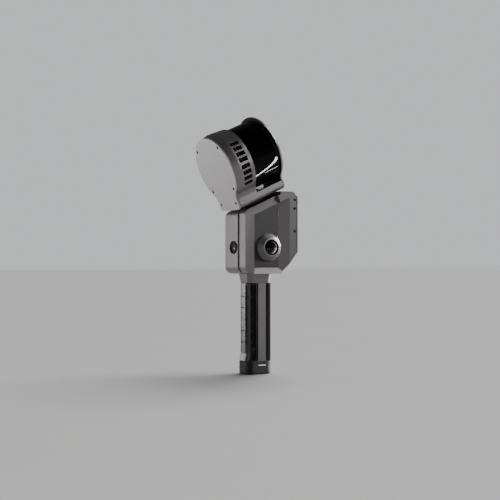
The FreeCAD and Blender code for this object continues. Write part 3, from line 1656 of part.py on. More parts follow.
def grip(label, front):
    """Rubber shell on the front or the rear of the handle."""
    body = in_handle(new_body(label))
    low = size("cap_height")
    high = size("collar_bottom")
    depth = size("grip_half_depth")
    wide = size("grip_half_width")
    rounded_pad(body, low, high, wide, -depth, depth, size("grip_corner"))
    if front:
        flared_foot(body, low)
    rubber = size("rubber_thick") + RUBBER_PLAY
    core = sketch(body, "XY_Plane", low - 1)
    rounded_rectangle(core, rubber - wide, wide - rubber, rubber - depth, depth - rubber, CORE_CORNER)
    cut(body, core, high - low + 5, backwards=True)
    keep = sketch(body, "YZ_Plane")
    toward = -1 if front else 1
    edge = STRIP_SHIFT + toward * (size("strip_half") + RUBBER_PLAY)
    flared = edge + toward * STRIP_FLARE
    beyond = -toward * WELL_OUT
    polygon(keep, [
        (beyond, low - 1), (flared, low - 1), (flared, low), (edge, low + STRIP_TAPER),
        (edge, high - STRIP_TAPER), (flared, high), (flared, high + 1), (beyond, high + 1),
    ])
    cut(body, keep, 2 * WELL_OUT, both_ways=True)
    if front:
        notches = sketch(body, "YZ_Plane")
        for middle in notch_heights():
            polygon(notches, [
                (-WELL_OUT, middle - NOTCH_HALF),
                (NOTCH_DEPTH - depth, middle),
                (-WELL_OUT, middle + NOTCH_HALF),
            ])
        cut(body, notches, 2 * WELL_OUT, both_ways=True)
        for hand in (-1, 1):
            corner_groove(body, hand)
            side_recess(body, hand)
    return body


def notch_heights():
    return [FIRST_NOTCH + i * size("notch_pitch") for i in range(NOTCHES)]


def flared_foot(body, low):
    """Lip at the front of the grip that widens towards the foot of the handle."""
    depth = size("grip_half_depth")
    wide = size("grip_half_width")
    foot = sketch(body, "XY_Plane", low)
    rounded_rectangle(foot, -wide, wide, -depth - FOOT_LIP, 0, size("grip_corner"))
    above = sketch(body, "XY_Plane", low + FOOT_LIP_HIGH)
    rounded_rectangle(above, -wide, wide, -depth, 0, size("grip_corner"))
    flared = body.newObject("PartDesign::AdditiveLoft", "foot_lip")
    flared.Profile = foot
    flared.Sections = [above]
    flared.Ruled = True
    settle(flared)


def corner_groove(body, hand):
    """Upright groove beside the flat front pad."""
    outside = size("grip_half_depth") + 2
    made = sketch(body, "XY_Plane", size("collar_bottom") - GROOVE_MARGIN)
    polygon(made, [
        (hand * GROOVE_NEAR, -outside),
        (hand * (GROOVE_NEAR + GROOVE_WIDE), -outside),
        (hand * (GROOVE_NEAR + GROOVE_WIDE), GROOVE_FLOOR - size("grip_half_depth")),
        (hand * GROOVE_NEAR, GROOVE_FLOOR - size("grip_half_depth")),
    ])
    cut(body, made, size("collar_bottom") - size("cap_height") - FOOT_LIP_HIGH - GROOVE_MARGIN)


def side_recess(body, hand):
    """Shallow recess on the grip's side, with a tooth at each notch and a slanted lower edge."""
    wide = size("grip_half_width")
    low = size("cap_height")
    high = size("collar_bottom") - GROOVE_MARGIN
    made = sketch(body, "YZ_Plane", hand * (wide + 1))
    outline = [(0, high), (RECESS_FRONT, high)]
    for middle in reversed(notch_heights()):
        outline += [
            (RECESS_FRONT, middle + TOOTH_HALF),
            (RECESS_FRONT + TOOTH_LONG, middle),
            (RECESS_FRONT, middle - TOOTH_HALF),
        ]
    outline += [(RECESS_FRONT, low + FOOT_LIP_HIGH + 8), (RECESS_FRONT + 2, low + 3), (0, low + 3)]
    polygon(made, outline)
    cut(body, made, 1 + RECESS_DEPTH, backwards=hand < 0)


WELL_OUT = 30.0
NOTCHES = 5
NOTCH_HALF = 3.0
FIRST_NOTCH = 51.2
NOTCH_DEPTH = 1.4
FOOT_LIP = 2.4
FOOT_LIP_HIGH = 12.0
GROOVE_NEAR = 7.0
GROOVE_WIDE = 2.2
GROOVE_FLOOR = 1.5
GROOVE_MARGIN = 3.0
RECESS_FRONT = -18.0
RECESS_DEPTH = 1.3
TOOTH_HALF = 3.2
TOOTH_LONG = 4.6


def base_cap():
    """Foot of the handle: closes the cell tube and carries the thread insert and the lights."""
    body = in_handle(new_body("base_cap"))
    top = size("cap_height")
    rounded_pad(body, 0, top, CAP_HALF, CAP_FRONT, CAP_BACK, size("grip_corner"))
    fillet(body, CAP_ROUND, lambda p, t: p.z < 0.01)
    chamfer(body, CAP_BEVEL, lambda p, t: p.z > number(top) - 0.01)
    room = sketch(body, "XY_Plane", top)
    rounded_rectangle(room, *CELL_ROOM)
    cut(body, room, top - CELL_LOW)
    holes(body, "XY_Plane", 0, [(0, -DRIVING_SIZES["handle_centre"])], INSERT_RADIUS, INSERT_DEPTH, True)
    made = sketch(body, "YZ_Plane", CAP_HALF)
    for y in LIGHT_PLACES:
        circle(made, y, LIGHT_HEIGHT, LIGHT_RADIUS)
    cut(body, made, LIGHT_LONG)
    return body


CAP_FRONT = -25.0
CAP_BACK = 22.5
CAP_ROUND = 3.0
CAP_BEVEL = 0.8
CAP_HALF = 17.6
LIGHT_RADIUS = 1.2
LIGHT_LONG = 3.0
CELL_LOW = 11.5
INSERT_RADIUS = 5.5
INSERT_DEPTH = 9.5
LIGHT_HEIGHT = 14.3
LIGHT_PLACES = [-3.0 + 3.5 * i for i in range(4)]


def battery_lights():
    """Four light pipes that show the charge."""
    body = in_handle(new_body("battery_lights"))
    made = sketch(body, "YZ_Plane", CAP_HALF - LIGHT_LONG)
    for y in LIGHT_PLACES:
        circle(made, y, LIGHT_HEIGHT, LIGHT_RADIUS)
    pad(body, made, LIGHT_LONG + 0.1)
    return body


def tripod_insert():
    """Threaded brass bush in the middle of the base."""
    body = upright(new_body("tripod_insert"))
    turned(body, "XZ_Plane", [
        (THREAD_RADIUS, 0), (INSERT_RADIUS, 0), (INSERT_RADIUS, INSERT_DEPTH), (THREAD_RADIUS, INSERT_DEPTH),
    ], "V_Axis")
    return body


THREAD_RADIUS = 3.175


def battery_cells():
    """Four cylindrical cells, two side by side in two layers."""
    body = in_handle(new_body("battery_cells"))
    for layer in range(2):
        made = sketch(body, "XY_Plane", CELL_LOW + layer * (size("cell_length") + 1))
        for y in (-CELL_OFFSET, CELL_OFFSET):
            circle(made, 0, y, size("cell_radius"))
        pad(body, made, size("cell_length"))
    return body


def cell_links():
    """Nickel link plates between the two layers of cells."""
    body = in_handle(new_body("cell_links"))
    made = sketch(body, "XY_Plane", CELL_LOW + size("cell_length"))
    for y in (-CELL_OFFSET, CELL_OFFSET):
        rectangle(made, -4, 4, y - 4, y + 4)
    pad(body, made, 1)
    return body


def charge_board():
    """Protection board on top of the cells."""
    body = in_handle(new_body("charge_board"))
    low = CELL_LOW + 2 * size("cell_length") + 1
    made = sketch(body, "XY_Plane", low)
    rounded_rectangle(made, *CELL_ROOM)
    pad(body, made, BOARD_THICK)
    return body


def handle_plug():
    """Plug between the handle's board and the body."""
    body = in_handle(new_body("handle_plug"))
    low = CELL_LOW + 2 * size("cell_length") + 1 + BOARD_THICK
    made = sketch(body, "XY_Plane", low)
    wide = PLUG_ROOM_WIDE - 0.1
    deep = PLUG_ROOM_DEEP - 0.1
    rectangle(made, -wide, wide, -deep, deep)
    pad(body, made, size("body_floor") + 2 * FLOOR_THICK - low)
    return body


def collar_screws():
    """Four screws from inside the body down into the collar."""
    body = upright(new_body("collar_screws"))
    floor = size("body_floor") + FLOOR_THICK
    screw_group(body, "XY_Plane", floor, COLLAR_SCREWS, HUB_HEAD_HIGH, FLOOR_THICK + 8)
    return body


front_plate()
front_plate_screws()
vent_band()
head_base()
end_plate()
end_plate_screws()
lidar_base()
lidar_driver()
lidar_window()
lidar_cap()
lidar_bearings()
lidar_spindle()
lidar_rotor()
rotor_lenses()
turntable_hub()
hub_screws()
bearing_carrier()
bearing_outer_races()
bearing_inner_races()
motor_stator()
rotor_bell()
rotor_magnets()
slip_ring()
slip_ring_brushes()
main_housing()
front_spine()
side_panel("right_side_panel", 1)
side_panel("left_side_panel", -1)
side_camera("right", 0)
side_camera("left", 180)
front_camera()
camera_boards()
rear_cover()
rear_cover_screws()
power_button()
power_switch()
status_ring()
port_door()
port_door_pin()
data_sockets()
main_board()
heat_spreader()
motion_sensor()
handle_frame()
grip("front_grip", True)
grip("rear_grip", False)
base_cap()
battery_lights()
tripod_insert()
battery_cells()
cell_links()
charge_board()
handle_plug()
collar_screws()

DOC.recompute()
for thing in DOC.Objects:
    if "Invalid" in thing.State or "Error" in thing.State:
        raise RuntimeError(f"{thing.Label} failed: {thing.State}")
for body in NODES:
    if body.Shape.isNull() or not body.Shape.isValid():
        raise RuntimeError(f"{body.Label} has no valid shape")

os.makedirs("parts", exist_ok=True)
for body in NODES:
    body.Shape.exportStep(f"parts/{body.Label}.step")
print(len(NODES), "sub-parts written")
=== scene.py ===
"""Finished surfaces of a handheld lidar scanner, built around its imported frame.

Metres, +Z up. The front camera looks along -Y, and +X is the side with the battery lights. The head's pieces
are made in the drum's own frame, whose Z runs along the drum to the end plate and whose Y points down.
"""
import json
import math

import bmesh
import bpy
from bpy.props import FloatProperty, FloatVectorProperty, PointerProperty
from mathutils import Matrix, Vector


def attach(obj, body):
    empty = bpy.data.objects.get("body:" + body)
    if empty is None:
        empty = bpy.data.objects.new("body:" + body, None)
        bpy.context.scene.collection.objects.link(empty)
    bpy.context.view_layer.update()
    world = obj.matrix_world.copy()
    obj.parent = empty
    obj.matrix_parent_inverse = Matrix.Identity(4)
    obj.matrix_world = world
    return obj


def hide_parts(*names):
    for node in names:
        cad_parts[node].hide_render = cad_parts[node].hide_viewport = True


bl_info = {
    "name": "Handheld Lidar Scanner",
    "version": (1, 0, 0),
    "blender": (4, 5, 0),
    "location": "View3D > Sidebar > Scanner",
    "description": "Metal shells, dark window, lenses, rubber grip and lights of a handheld lidar scanner",
    "category": "Object",
}

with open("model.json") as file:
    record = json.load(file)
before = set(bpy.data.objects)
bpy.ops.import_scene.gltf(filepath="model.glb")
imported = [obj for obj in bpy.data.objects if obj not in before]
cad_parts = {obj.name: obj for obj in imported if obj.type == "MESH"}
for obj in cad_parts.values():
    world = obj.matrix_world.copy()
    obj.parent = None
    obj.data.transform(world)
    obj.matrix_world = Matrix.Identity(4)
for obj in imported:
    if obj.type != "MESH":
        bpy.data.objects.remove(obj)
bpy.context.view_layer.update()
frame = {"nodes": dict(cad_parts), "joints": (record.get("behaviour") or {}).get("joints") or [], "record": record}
NODES = frame["nodes"]
JOINTS = {joint["name"]: joint for joint in frame["joints"]}
BODY_OF = {
    node: body
    for body, nodes in frame["record"]["behaviour"]["bodies"].items()
    for node in nodes
}
SLOT_OF = {part["node"]: part["material_slot"] for part in frame["record"]["subparts"]}
MM = 0.001
# Where the end plate begins along the drum
END_FACE = 42.5 * MM
# The side cameras' place along the depth and above the base, in millimetres
SIDE_EYE = (5.5, 203.0)


# Frames of the pieces


def frame_from(origin, along):
    """A frame at origin whose Z runs along a direction square to the object's X."""
    z_axis = Vector(along).normalized()
    x_axis = Vector((1, 0, 0))
    y_axis = z_axis.cross(x_axis)
    turn = Matrix((x_axis, y_axis, z_axis)).transposed().to_4x4()
    return Matrix.Translation(Vector(origin)) @ turn


def frame_along_x(origin, hand):
    """A frame at origin whose Z runs out to one side."""
    return Matrix.Translation(Vector(origin)) @ Matrix.Rotation(hand * math.pi / 2, 4, "Y")


DRUM = frame_from(JOINTS["optics_spin"]["pos_m"], JOINTS["optics_spin"]["axis"])
TURNTABLE = frame_from(JOINTS["head_turn"]["pos_m"], JOINTS["head_turn"]["axis"])


# Mesh helpers

# Points nearer than this are one point, on a made mesh and on a mesh from the frame
SAME_POINT = 1e-7
SAME_FRAME_POINT = 2e-6
FLAT_DEGREES = 0.4
EDGE_DEGREES = 30


def link(name, mesh):
    """Links a mesh as an object at the origin."""
    made = bpy.data.objects.new(name, mesh)
    bpy.context.scene.collection.objects.link(made)
    return made


def kept_mesh(name, shape):
    """A named mesh from a bmesh, which is freed."""
    mesh = bpy.data.meshes.new(name)
    shape.to_mesh(mesh)
    shape.free()
    return mesh


def mesh_from(name, corners, faces):
    """A mesh from corners and faces, its doubles merged and its faces turned outwards."""
    shape = bmesh.new()
    spots = [shape.verts.new(corner) for corner in corners]
    for face in faces:
        shape.faces.new([spots[i] for i in face])
    bmesh.ops.remove_doubles(shape, verts=shape.verts, dist=SAME_POINT)
    bmesh.ops.recalc_face_normals(shape, faces=shape.faces)
    return kept_mesh(name, shape)


def smooth(mesh, degrees=32):
    """Smooth shading, with sharp edges where faces meet at more than an angle."""
    mesh.shade_smooth()
    mesh.set_sharp_from_angle(angle=math.radians(degrees))


def corner_arc(before, here, after, radius, steps):
    """The arc that rounds one corner of a line of points."""
    back = (before - here).normalized()
    ahead = (after - here).normalized()
    half = back.angle(ahead) / 2
    reach = radius / math.tan(half)
    centre = here + (back + ahead).normalized() * (radius / math.sin(half))
    start = (here + back * reach - centre).normalized()
    end = (here + ahead * reach - centre).normalized()
    return [tuple(centre + start.slerp(end, k / steps) * radius) for k in range(steps + 1)]


def rounded_loop(points, radii, steps=5, closed=True):
    """An outline of points whose corners are replaced by arcs. radii has one entry per point."""
    result = []
    count = len(points)
    for i, (point, radius) in enumerate(zip(points, radii)):
        if radius <= 0 or (not closed and i in (0, count - 1)):
            result.append(tuple(point))
            continue
        before = Vector(points[i - 1])
        after = Vector(points[(i + 1) % count])
        result += corner_arc(before, Vector(point), after, radius, steps)
    return result


def lathe(name, profile, place, count=96):
    """A closed round mesh: a closed profile of (radius, station) pairs turned about the frame's Z."""
    corners = []
    faces = []
    size = len(profile)
    for i in range(count):
        angle = 2 * math.pi * i / count
        for radius, station in profile:
            corners.append((radius * math.cos(angle), radius * math.sin(angle), station))
    for i in range(count):
        after = (i + 1) % count
        for k in range(size):
            step = (k + 1) % size
            if profile[k][0] <= 0 and profile[step][0] <= 0:
                continue
            faces.append((i * size + k, i * size + step, after * size + step, after * size + k))
    return clean_mesh(name, corners, faces, place)


def clean_mesh(name, corners, faces, place):
    """A mesh whose faces lose their repeated corners, for shapes that close on an axis."""
    shape = bmesh.new()
    spots = {}
    merged = []
    for corner in corners:
        key = tuple(round(value, 8) for value in corner)
        if key not in spots:
            spots[key] = shape.verts.new(place @ Vector(corner))
        merged.append(spots[key])
    for face in faces:
        ring = []
        for index in face:
            if merged[index] not in ring:
                ring.append(merged[index])
        if len(ring) > 2:
            shape.faces.new(ring)
    bmesh.ops.recalc_face_normals(shape, faces=shape.faces)
    return kept_mesh(name, shape)


def merged_copy(node):
    """A CAD node's mesh with its loose triangles joined and its flat faces made whole."""
    shape = bmesh.new()
    shape.from_mesh(NODES[node].data)
    bmesh.ops.remove_doubles(shape, verts=shape.verts, dist=SAME_FRAME_POINT)
    bmesh.ops.dissolve_limit(
        shape, angle_limit=math.radians(FLAT_DEGREES), verts=shape.verts, edges=shape.edges, delimit=set()
    )
    return kept_mesh(node, shape)


def even_normals(piece):
    """Lets the larger faces lead the shading, and applies the piece's modifiers."""
    even = piece.modifiers.new("even", "WEIGHTED_NORMAL")
    even.keep_sharp = True
    even.weight = 100
    apply_modifiers(piece)


def soften_edges(piece, width):
    """Rounds every sharp edge of a piece."""
    bevel = piece.modifiers.new("edge", "BEVEL")
    bevel.width = width
    bevel.segments = 2
    bevel.limit_method = "ANGLE"
    bevel.angle_limit = math.radians(EDGE_DEGREES)
    bevel.use_clamp_overlap = False
    bevel.miter_outer = "MITER_ARC"
    piece.data.shade_smooth()
    even_normals(piece)


def even_shading(piece, degrees=32):
    """Smooth shading led by the larger faces, with sharp edges kept."""
    smooth(piece.data, degrees)
    even_normals(piece)


def apply_modifiers(piece):
    """Makes a piece's modifiers part of its mesh."""
    bpy.context.view_layer.update()
    graph = bpy.context.evaluated_depsgraph_get()
    mesh = bpy.data.meshes.new_from_object(piece.evaluated_get(graph))
    piece.modifiers.clear()
    old = piece.data
    piece.data = mesh
    bpy.data.meshes.remove(old)


def finish_piece(piece, body, material, replaced=()):
    """Gives a finished mesh its material, its body and the CAD nodes that it stands for."""
    piece.data.materials.clear()
    piece.data.materials.append(material)
    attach(piece, body)
    if replaced:
        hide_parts(*replaced)


def dress_node(node, material):
    """A CAD node that keeps its shape takes a better material."""
    data = NODES[node].data
    data.materials.clear()
    data.materials.append(material)


def shell_piece(name, node, material, edge):
    """A finished shell from a CAD node: joined, its edges rounded and its curves smooth."""
    piece = link(name, merged_copy(node))
    soften_edges(piece, edge)
    finish_piece(piece, BODY_OF[node], material, [node])


# Shader node groups and materials


class Graph:
    """Adds nodes to one node tree and links them."""

    def __init__(self, tree):
        self.tree = tree

    def add(self, kind, inputs=None, **settings):
        made = self.tree.nodes.new(kind)
        for key, value in settings.items():
            setattr(made, key, value)
        for key, value in (inputs or {}).items():
            if isinstance(value, bpy.types.NodeSocket):
                self.join(value, made.inputs[key])
            else:
                made.inputs[key].default_value = value
        return made

    def join(self, value, socket):
        self.tree.links.new(value, socket)

    def place(self):
        """Where the surface lies on the object."""
        return self.add("ShaderNodeTexCoord").outputs["Object"]

    def vector(self, operation, first, second, output=0):
        made = self.add("ShaderNodeVectorMath", {0: first, 1: second}, operation=operation)
        return made.outputs[output]

    def toned(self, colour, tone):
        """A colour times a tone that changes over the surface."""
        return self.add("ShaderNodeVectorMath", {0: colour, "Scale": tone}, operation="SCALE").outputs[0]

    def maths(self, operation, first, second=0.0, clamp=False):
        made = self.add("ShaderNodeMath", {0: first, 1: second}, operation=operation, use_clamp=clamp)
        return made.outputs[0]

    def spread(self, value, low, high, new_low, new_high):
        """Maps one range of a value onto another, smoothly."""
        made = self.add(
            "ShaderNodeMapRange",
            {"Value": value, "From Min": low, "From Max": high, "To Min": new_low, "To Max": new_high},
            interpolation_type="SMOOTHSTEP",
        )
        return made.outputs[0]

    def stretched(self, where, scale):
        return self.add("ShaderNodeMapping", {"Vector": where, "Scale": scale}).outputs[0]

    def noise(self, where, scale, detail=2.0, rough=0.5):
        settings = {"Vector": where, "Scale": scale, "Detail": detail, "Roughness": rough}
        return self.add("ShaderNodeTexNoise", settings).outputs["Fac"]

    def mix(self, share, first, second):
        made = self.add("ShaderNodeMix", {0: share, 6: first, 7: second}, data_type="RGBA")
        return made.outputs[2]


def new_group(name, numbers, outputs):
    """A shader node group with number inputs (name, default) and outputs (name, socket type)."""
    tree = bpy.data.node_groups.new(name, "ShaderNodeTree")
    for word, value in numbers:
        socket = tree.interface.new_socket(word, in_out="INPUT", socket_type="NodeSocketFloat")
        socket.default_value = value
    for word, kind in outputs:
        tree.interface.new_socket(word, in_out="OUTPUT", socket_type=kind)
    graph = Graph(tree)
    entry = graph.add("NodeGroupInput")
    leave = graph.add("NodeGroupOutput")
    return graph, entry.outputs, leave.inputs


def grain_group():
    """Fine blasted grain: its height, and a tone that wanders a little over the surface."""
    graph, inputs, outputs = new_group(
        "Blasted grain",
        [("Grain", 2600.0), ("Mottle", 90.0), ("Tone spread", 0.06)],
        [("Height", "NodeSocketFloat"), ("Tone", "NodeSocketFloat")],
    )
    where = graph.place()
    fine = graph.noise(where, inputs["Grain"], 3.0, 0.6)
    wide = graph.noise(where, inputs["Mottle"], 4.0, 0.55)
    graph.join(fine, outputs["Height"])
    wander = graph.maths("SUBTRACT", wide, 0.5)
    speck = graph.maths("MULTIPLY", graph.maths("SUBTRACT", fine, 0.5), 0.6)
    total = graph.maths("ADD", wander, speck)
    tone = graph.maths("ADD", graph.maths("MULTIPLY", total, inputs["Tone spread"]), 1.0)
    graph.join(tone, outputs["Tone"])
    return graph.tree


def handling_group():
    """Faint marks of handling: broad patches and fine streaks, for the roughness."""
    graph, inputs, outputs = new_group(
        "Handling marks",
        [("Patch", 24.0), ("Streak", 300.0), ("Amount", 0.08)],
        [("Change", "NodeSocketFloat")],
    )
    where = graph.place()
    patch = graph.noise(where, inputs["Patch"], 3.0, 0.55)
    streak = graph.noise(graph.stretched(where, (1.0, 0.25, 0.12)), inputs["Streak"], 2.0, 0.6)
    both = graph.maths("ADD", graph.maths("MULTIPLY", patch, 0.7), graph.maths("MULTIPLY", streak, 0.3))
    change = graph.maths("MULTIPLY", graph.maths("SUBTRACT", both, 0.5), inputs["Amount"])
    graph.join(change, outputs["Change"])
    return graph.tree


def dust_group():
    """A little dust on faces that look up: a mask from the surface's direction and a patchy noise."""
    graph, inputs, outputs = new_group(
        "Settled dust",
        [("Amount", 0.08), ("Patch", 60.0)],
        [("Mask", "NodeSocketFloat")],
    )
    where = graph.place()
    facing = graph.add("ShaderNodeNewGeometry").outputs["Normal"]
    upward = graph.add("ShaderNodeSeparateXYZ", {0: facing}).outputs["Z"]
    lying = graph.spread(upward, 0.3, 0.95, 0.0, 1.0)
    patch = graph.spread(graph.noise(where, inputs["Patch"], 5.0, 0.65), 0.35, 0.75, 0.2, 1.0)
    mask = graph.maths("MULTIPLY", graph.maths("MULTIPLY", lying, patch), inputs["Amount"])
    graph.join(mask, outputs["Mask"])
    return graph.tree


# Shader groups, finishes and geometry trees, by name, as the operators make them
GROUPS = {}
FINISHES = {}
SHAPE_TREES = {}


def group_node(graph, group, **values):
    """Places one of the shared groups, with this material's own values."""
    made = graph.add("ShaderNodeGroup", node_tree=GROUPS[group])
    for word, value in values.items():
        made.inputs[word.replace("_", " ")].default_value = value
    return made.outputs


def new_finish(name, **plain):
    """A new finish whose plain sockets are set: its graph and its surface's sockets."""
    material = bpy.data.materials.new(name)
    material.use_nodes = True
    surface = material.node_tree.nodes["Principled BSDF"].inputs
    for word, value in plain.items():
        surface[word.replace("_", " ")].default_value = value
    FINISHES[name] = material
    return Graph(material.node_tree), surface


def set_bump(graph, surface, height, strength, distance):
    bump = graph.add("ShaderNodeBump", {"Strength": strength, "Distance": distance, "Height": height})
    graph.join(bump.outputs[0], surface["Normal"])


def shade(colour, share):
    """A colour made darker or lighter."""
    return tuple(share * value for value in colour)


# Colours of settled dust on metal and on rubber, and the depth of the blasted grain
METAL_DUST = (0.42, 0.40, 0.38, 1.0)
RUBBER_DUST = (0.25, 0.24, 0.22, 1.0)
GRAIN_DEPTH = 0.035 * MM


def blasted_metal(name, colour, rough, metallic, grain_depth=GRAIN_DEPTH):
    """Blasted and anodised metal: fine grain, faint mottling, handling marks and a little dust."""
    graph, surface = new_finish(name, Metallic=metallic)
    grain = group_node(graph, "grain")
    marks = group_node(graph, "handling", Amount=0.10)
    dust = group_node(graph, "dust", Amount=0.10)
    toned = graph.toned(colour, grain["Tone"])
    graph.join(graph.mix(dust["Mask"], toned, METAL_DUST), surface["Base Color"])
    graph.join(graph.maths("ADD", marks["Change"], rough), surface["Roughness"])
    set_bump(graph, surface, grain["Height"], 1.0, grain_depth)


# The boss, painted lighter as painted light, ends between these distances from the side camera's axis
BOSS_ENDS = (20.5 * MM, 23 * MM)


def side_metal(name, body, rough):
    """Dark, smooth side panel whose domed boss round the camera is less smooth and painted lighter, as painted
    light for what the boss catches.
    """
    graph, surface = new_finish(name, Metallic=0.6)
    grain = group_node(graph, "grain")
    marks = group_node(graph, "handling", Amount=0.10)
    back, height = (value * MM for value in SIDE_EYE)
    from_eye = graph.vector("SUBTRACT", graph.place(), (0.0, back, height))
    along_panel = graph.vector("MULTIPLY", from_eye, (0.0, 1.0, 1.0))
    reach = graph.vector("LENGTH", along_panel, (0.0, 0.0, 0.0), "Value")
    boss = graph.spread(reach, *BOSS_ENDS, 1.0, 0.0)
    # Painted light: the boss is painted at 0.65 of the body's colour against the panel's 0.16, for the light that
    # the domed boss catches
    base = graph.mix(boss, (*shade(body, 0.16), 1.0), (*shade(body, 0.65), 1.0))
    graph.join(graph.toned(base, grain["Tone"]), surface["Base Color"])
    polish = graph.spread(boss, 0.0, 1.0, rough - 0.12, rough)
    graph.join(graph.maths("ADD", marks["Change"], polish), surface["Roughness"])
    set_bump(graph, surface, grain["Height"], 1.0, GRAIN_DEPTH)


# The end plate's face turns into its edge between these depths: the face is painted near black as painted shade,
# the edge painted lighter as a painted highlight
PAINTED_HIGHLIGHT_EDGE = (END_FACE + 0.1 * MM, END_FACE + 0.5 * MM)


def rim_metal(name, body, rough):
    """Inner face painted near black as painted shade, whose outer edge is smoother metal painted lighter as a
    painted highlight.
    """
    graph, surface = new_finish(name, Metallic=0.8)
    grain = group_node(graph, "grain")
    out = graph.vector("SUBTRACT", graph.place(), DRUM.translation)
    along = graph.vector("DOT_PRODUCT", out, DRUM.col[2].to_3d(), "Value")
    edge = graph.spread(along, *PAINTED_HIGHLIGHT_EDGE, 0.0, 1.0)
    # Painted shade and painted highlight: the face takes 0.06 of the body's colour, the edge 1.6 of it
    base = graph.mix(edge, (*shade(body, 0.06), 1.0), (*shade(body, 1.6), 1.0))
    graph.join(graph.toned(base, grain["Tone"]), surface["Base Color"])
    graph.join(graph.spread(edge, 0.0, 1.0, 0.6, rough), surface["Roughness"])
    set_bump(graph, surface, grain["Height"], 1.0, 0.02 * MM)


def polished_black(name, colour, rough):
    """Polished dark plastic with barely visible smears."""
    graph, surface = new_finish(name, Specular_IOR_Level=0.06)
    marks = group_node(graph, "handling", Amount=0.04, Patch=35.0)
    graph.join(graph.maths("ADD", marks["Change"], rough, clamp=True), surface["Roughness"])
    tint = graph.spread(graph.noise(graph.place(), 18.0, 2.0), 0.3, 0.7, 0.8, 1.2)
    graph.join(graph.toned(colour, tint), surface["Base Color"])


def moulded_rubber(name, colour, rough=0.42):
    """Moulded rubber with a fine leathery skin and worn patches; its recesses are duller and painted darker,
    partly as painted shade.
    """
    graph, surface = new_finish(name, Specular_IOR_Level=0.3)
    where = graph.place()
    skin = graph.add("ShaderNodeTexVoronoi", {"Vector": where, "Scale": 1500.0}).outputs["Distance"]
    fine = graph.noise(where, 4200.0, 2.0)
    height = graph.maths("ADD", graph.maths("MULTIPLY", skin, 0.7), graph.maths("MULTIPLY", fine, 0.3))
    marks = group_node(graph, "handling", Amount=0.16, Patch=30.0)
    dust = group_node(graph, "dust", Amount=0.12)
    tint = graph.spread(graph.noise(where, 60.0, 3.0), 0.3, 0.7, 0.8, 1.25)
    recess = graph.add("ShaderNodeAttribute", attribute_name="recess").outputs["Fac"]
    # Painted shade: slits, grooves and side recesses are painted down to 0.3 of the rubber's colour where shade
    # falls; in the side recesses this also stands for their own matte black
    tone = graph.maths("MULTIPLY", tint, graph.spread(recess, 0.0, 1.0, 1.0, 0.3))
    graph.join(graph.mix(dust["Mask"], graph.toned(colour, tone), RUBBER_DUST), surface["Base Color"])
    dull = graph.spread(recess, 0.0, 1.0, rough, 0.95)
    graph.join(graph.maths("ADD", marks["Change"], dull, clamp=True), surface["Roughness"])
    set_bump(graph, surface, height, 1.0, 0.05 * MM)


def turned_metal(name, colour, rough):
    """Machined metal with fine turning lines and a slightly uneven polish."""
    graph, surface = new_finish(name, Metallic=1.0)
    where = graph.place()
    lines = graph.noise(where, 3200.0, 1.0)
    marks = group_node(graph, "handling", Amount=0.12)
    tint = graph.spread(graph.noise(where, 400.0, 2.0), 0.3, 0.7, 0.88, 1.1)
    graph.join(graph.toned(colour, tint), surface["Base Color"])
    graph.join(graph.maths("ADD", marks["Change"], rough), surface["Roughness"])
    set_bump(graph, surface, lines, 0.6, 0.01 * MM)


def clear_glass(name, tint):
    """Coated glass whose bluish tint varies a little over the dome."""
    graph, surface = new_finish(name, Transmission_Weight=1.0, IOR=1.3, Specular_IOR_Level=0.3)
    wander = graph.spread(graph.noise(graph.place(), 60.0, 2.0), 0.3, 0.7, 0.94, 1.0)
    graph.join(graph.toned(tint, wander), surface["Base Color"])
    marks = group_node(graph, "handling", Amount=0.03, Patch=90.0)
    graph.join(graph.maths("MAXIMUM", marks["Change"], 0.0), surface["Roughness"])


def coated_lens(name, colour):
    """Dark inner lens whose coating shifts from violet to green over the dome."""
    graph, surface = new_finish(name, Roughness=0.1, IOR=1.45, Specular_IOR_Level=0.25)
    share = graph.spread(graph.noise(graph.place(), 140.0, 1.0), 0.35, 0.65, 0.0, 1.0)
    green = (colour[0], colour[2], colour[0] * 1.5, 1.0)
    graph.join(graph.mix(share, (*colour, 1.0), green), surface["Base Color"])


def circuit_board(name, colour):
    """Solder mask, lighter and a little raised over the copper under it."""
    graph, surface = new_finish(name, Roughness=0.35)
    cells = graph.add(
        "ShaderNodeTexVoronoi", {"Vector": graph.place(), "Scale": 420.0}, distance="CHEBYCHEV"
    ).outputs["Distance"]
    copper = graph.spread(cells, 0.42, 0.46, 0.0, 1.0)
    graph.join(graph.mix(copper, (*colour, 1.0), (*shade(colour, 2.2), 1.0)), surface["Base Color"])
    set_bump(graph, surface, copper, 0.5, 0.03 * MM)


def lit_plastic(name, colour, glow):
    """Milky light pipe whose glow varies a little over its surface."""
    graph, surface = new_finish(name, Roughness=0.35, Emission_Strength=glow)
    wander = graph.spread(graph.noise(graph.place(), 500.0, 2.0), 0.3, 0.7, 0.85, 1.0)
    toned = graph.toned(colour, wander)
    graph.join(toned, surface["Base Color"])
    graph.join(toned, surface["Emission Color"])


def wrapped_cell(name, colour):
    """Shrink-wrapped battery cell: glossy film with faint wrinkles."""
    graph, surface = new_finish(name)
    wrinkles = graph.noise(graph.stretched(graph.place(), (1.0, 1.0, 0.15)), 420.0, 4.0, 0.6)
    tint = graph.spread(wrinkles, 0.3, 0.7, 0.85, 1.12)
    graph.join(graph.toned(colour, tint), surface["Base Color"])
    graph.join(graph.spread(wrinkles, 0.2, 0.8, 0.22, 0.4), surface["Roughness"])
    set_bump(graph, surface, wrinkles, 0.5, 0.05 * MM)


def colour_property(name, description, default):
    return FloatVectorProperty(
        name=name, description=description, default=default, subtype="COLOR", min=0.0, max=1.0
    )


def length_property(name, description, default, **limits):
    return FloatProperty(
        name=name, description=description, default=default, subtype="DISTANCE", unit="LENGTH", **limits
    )


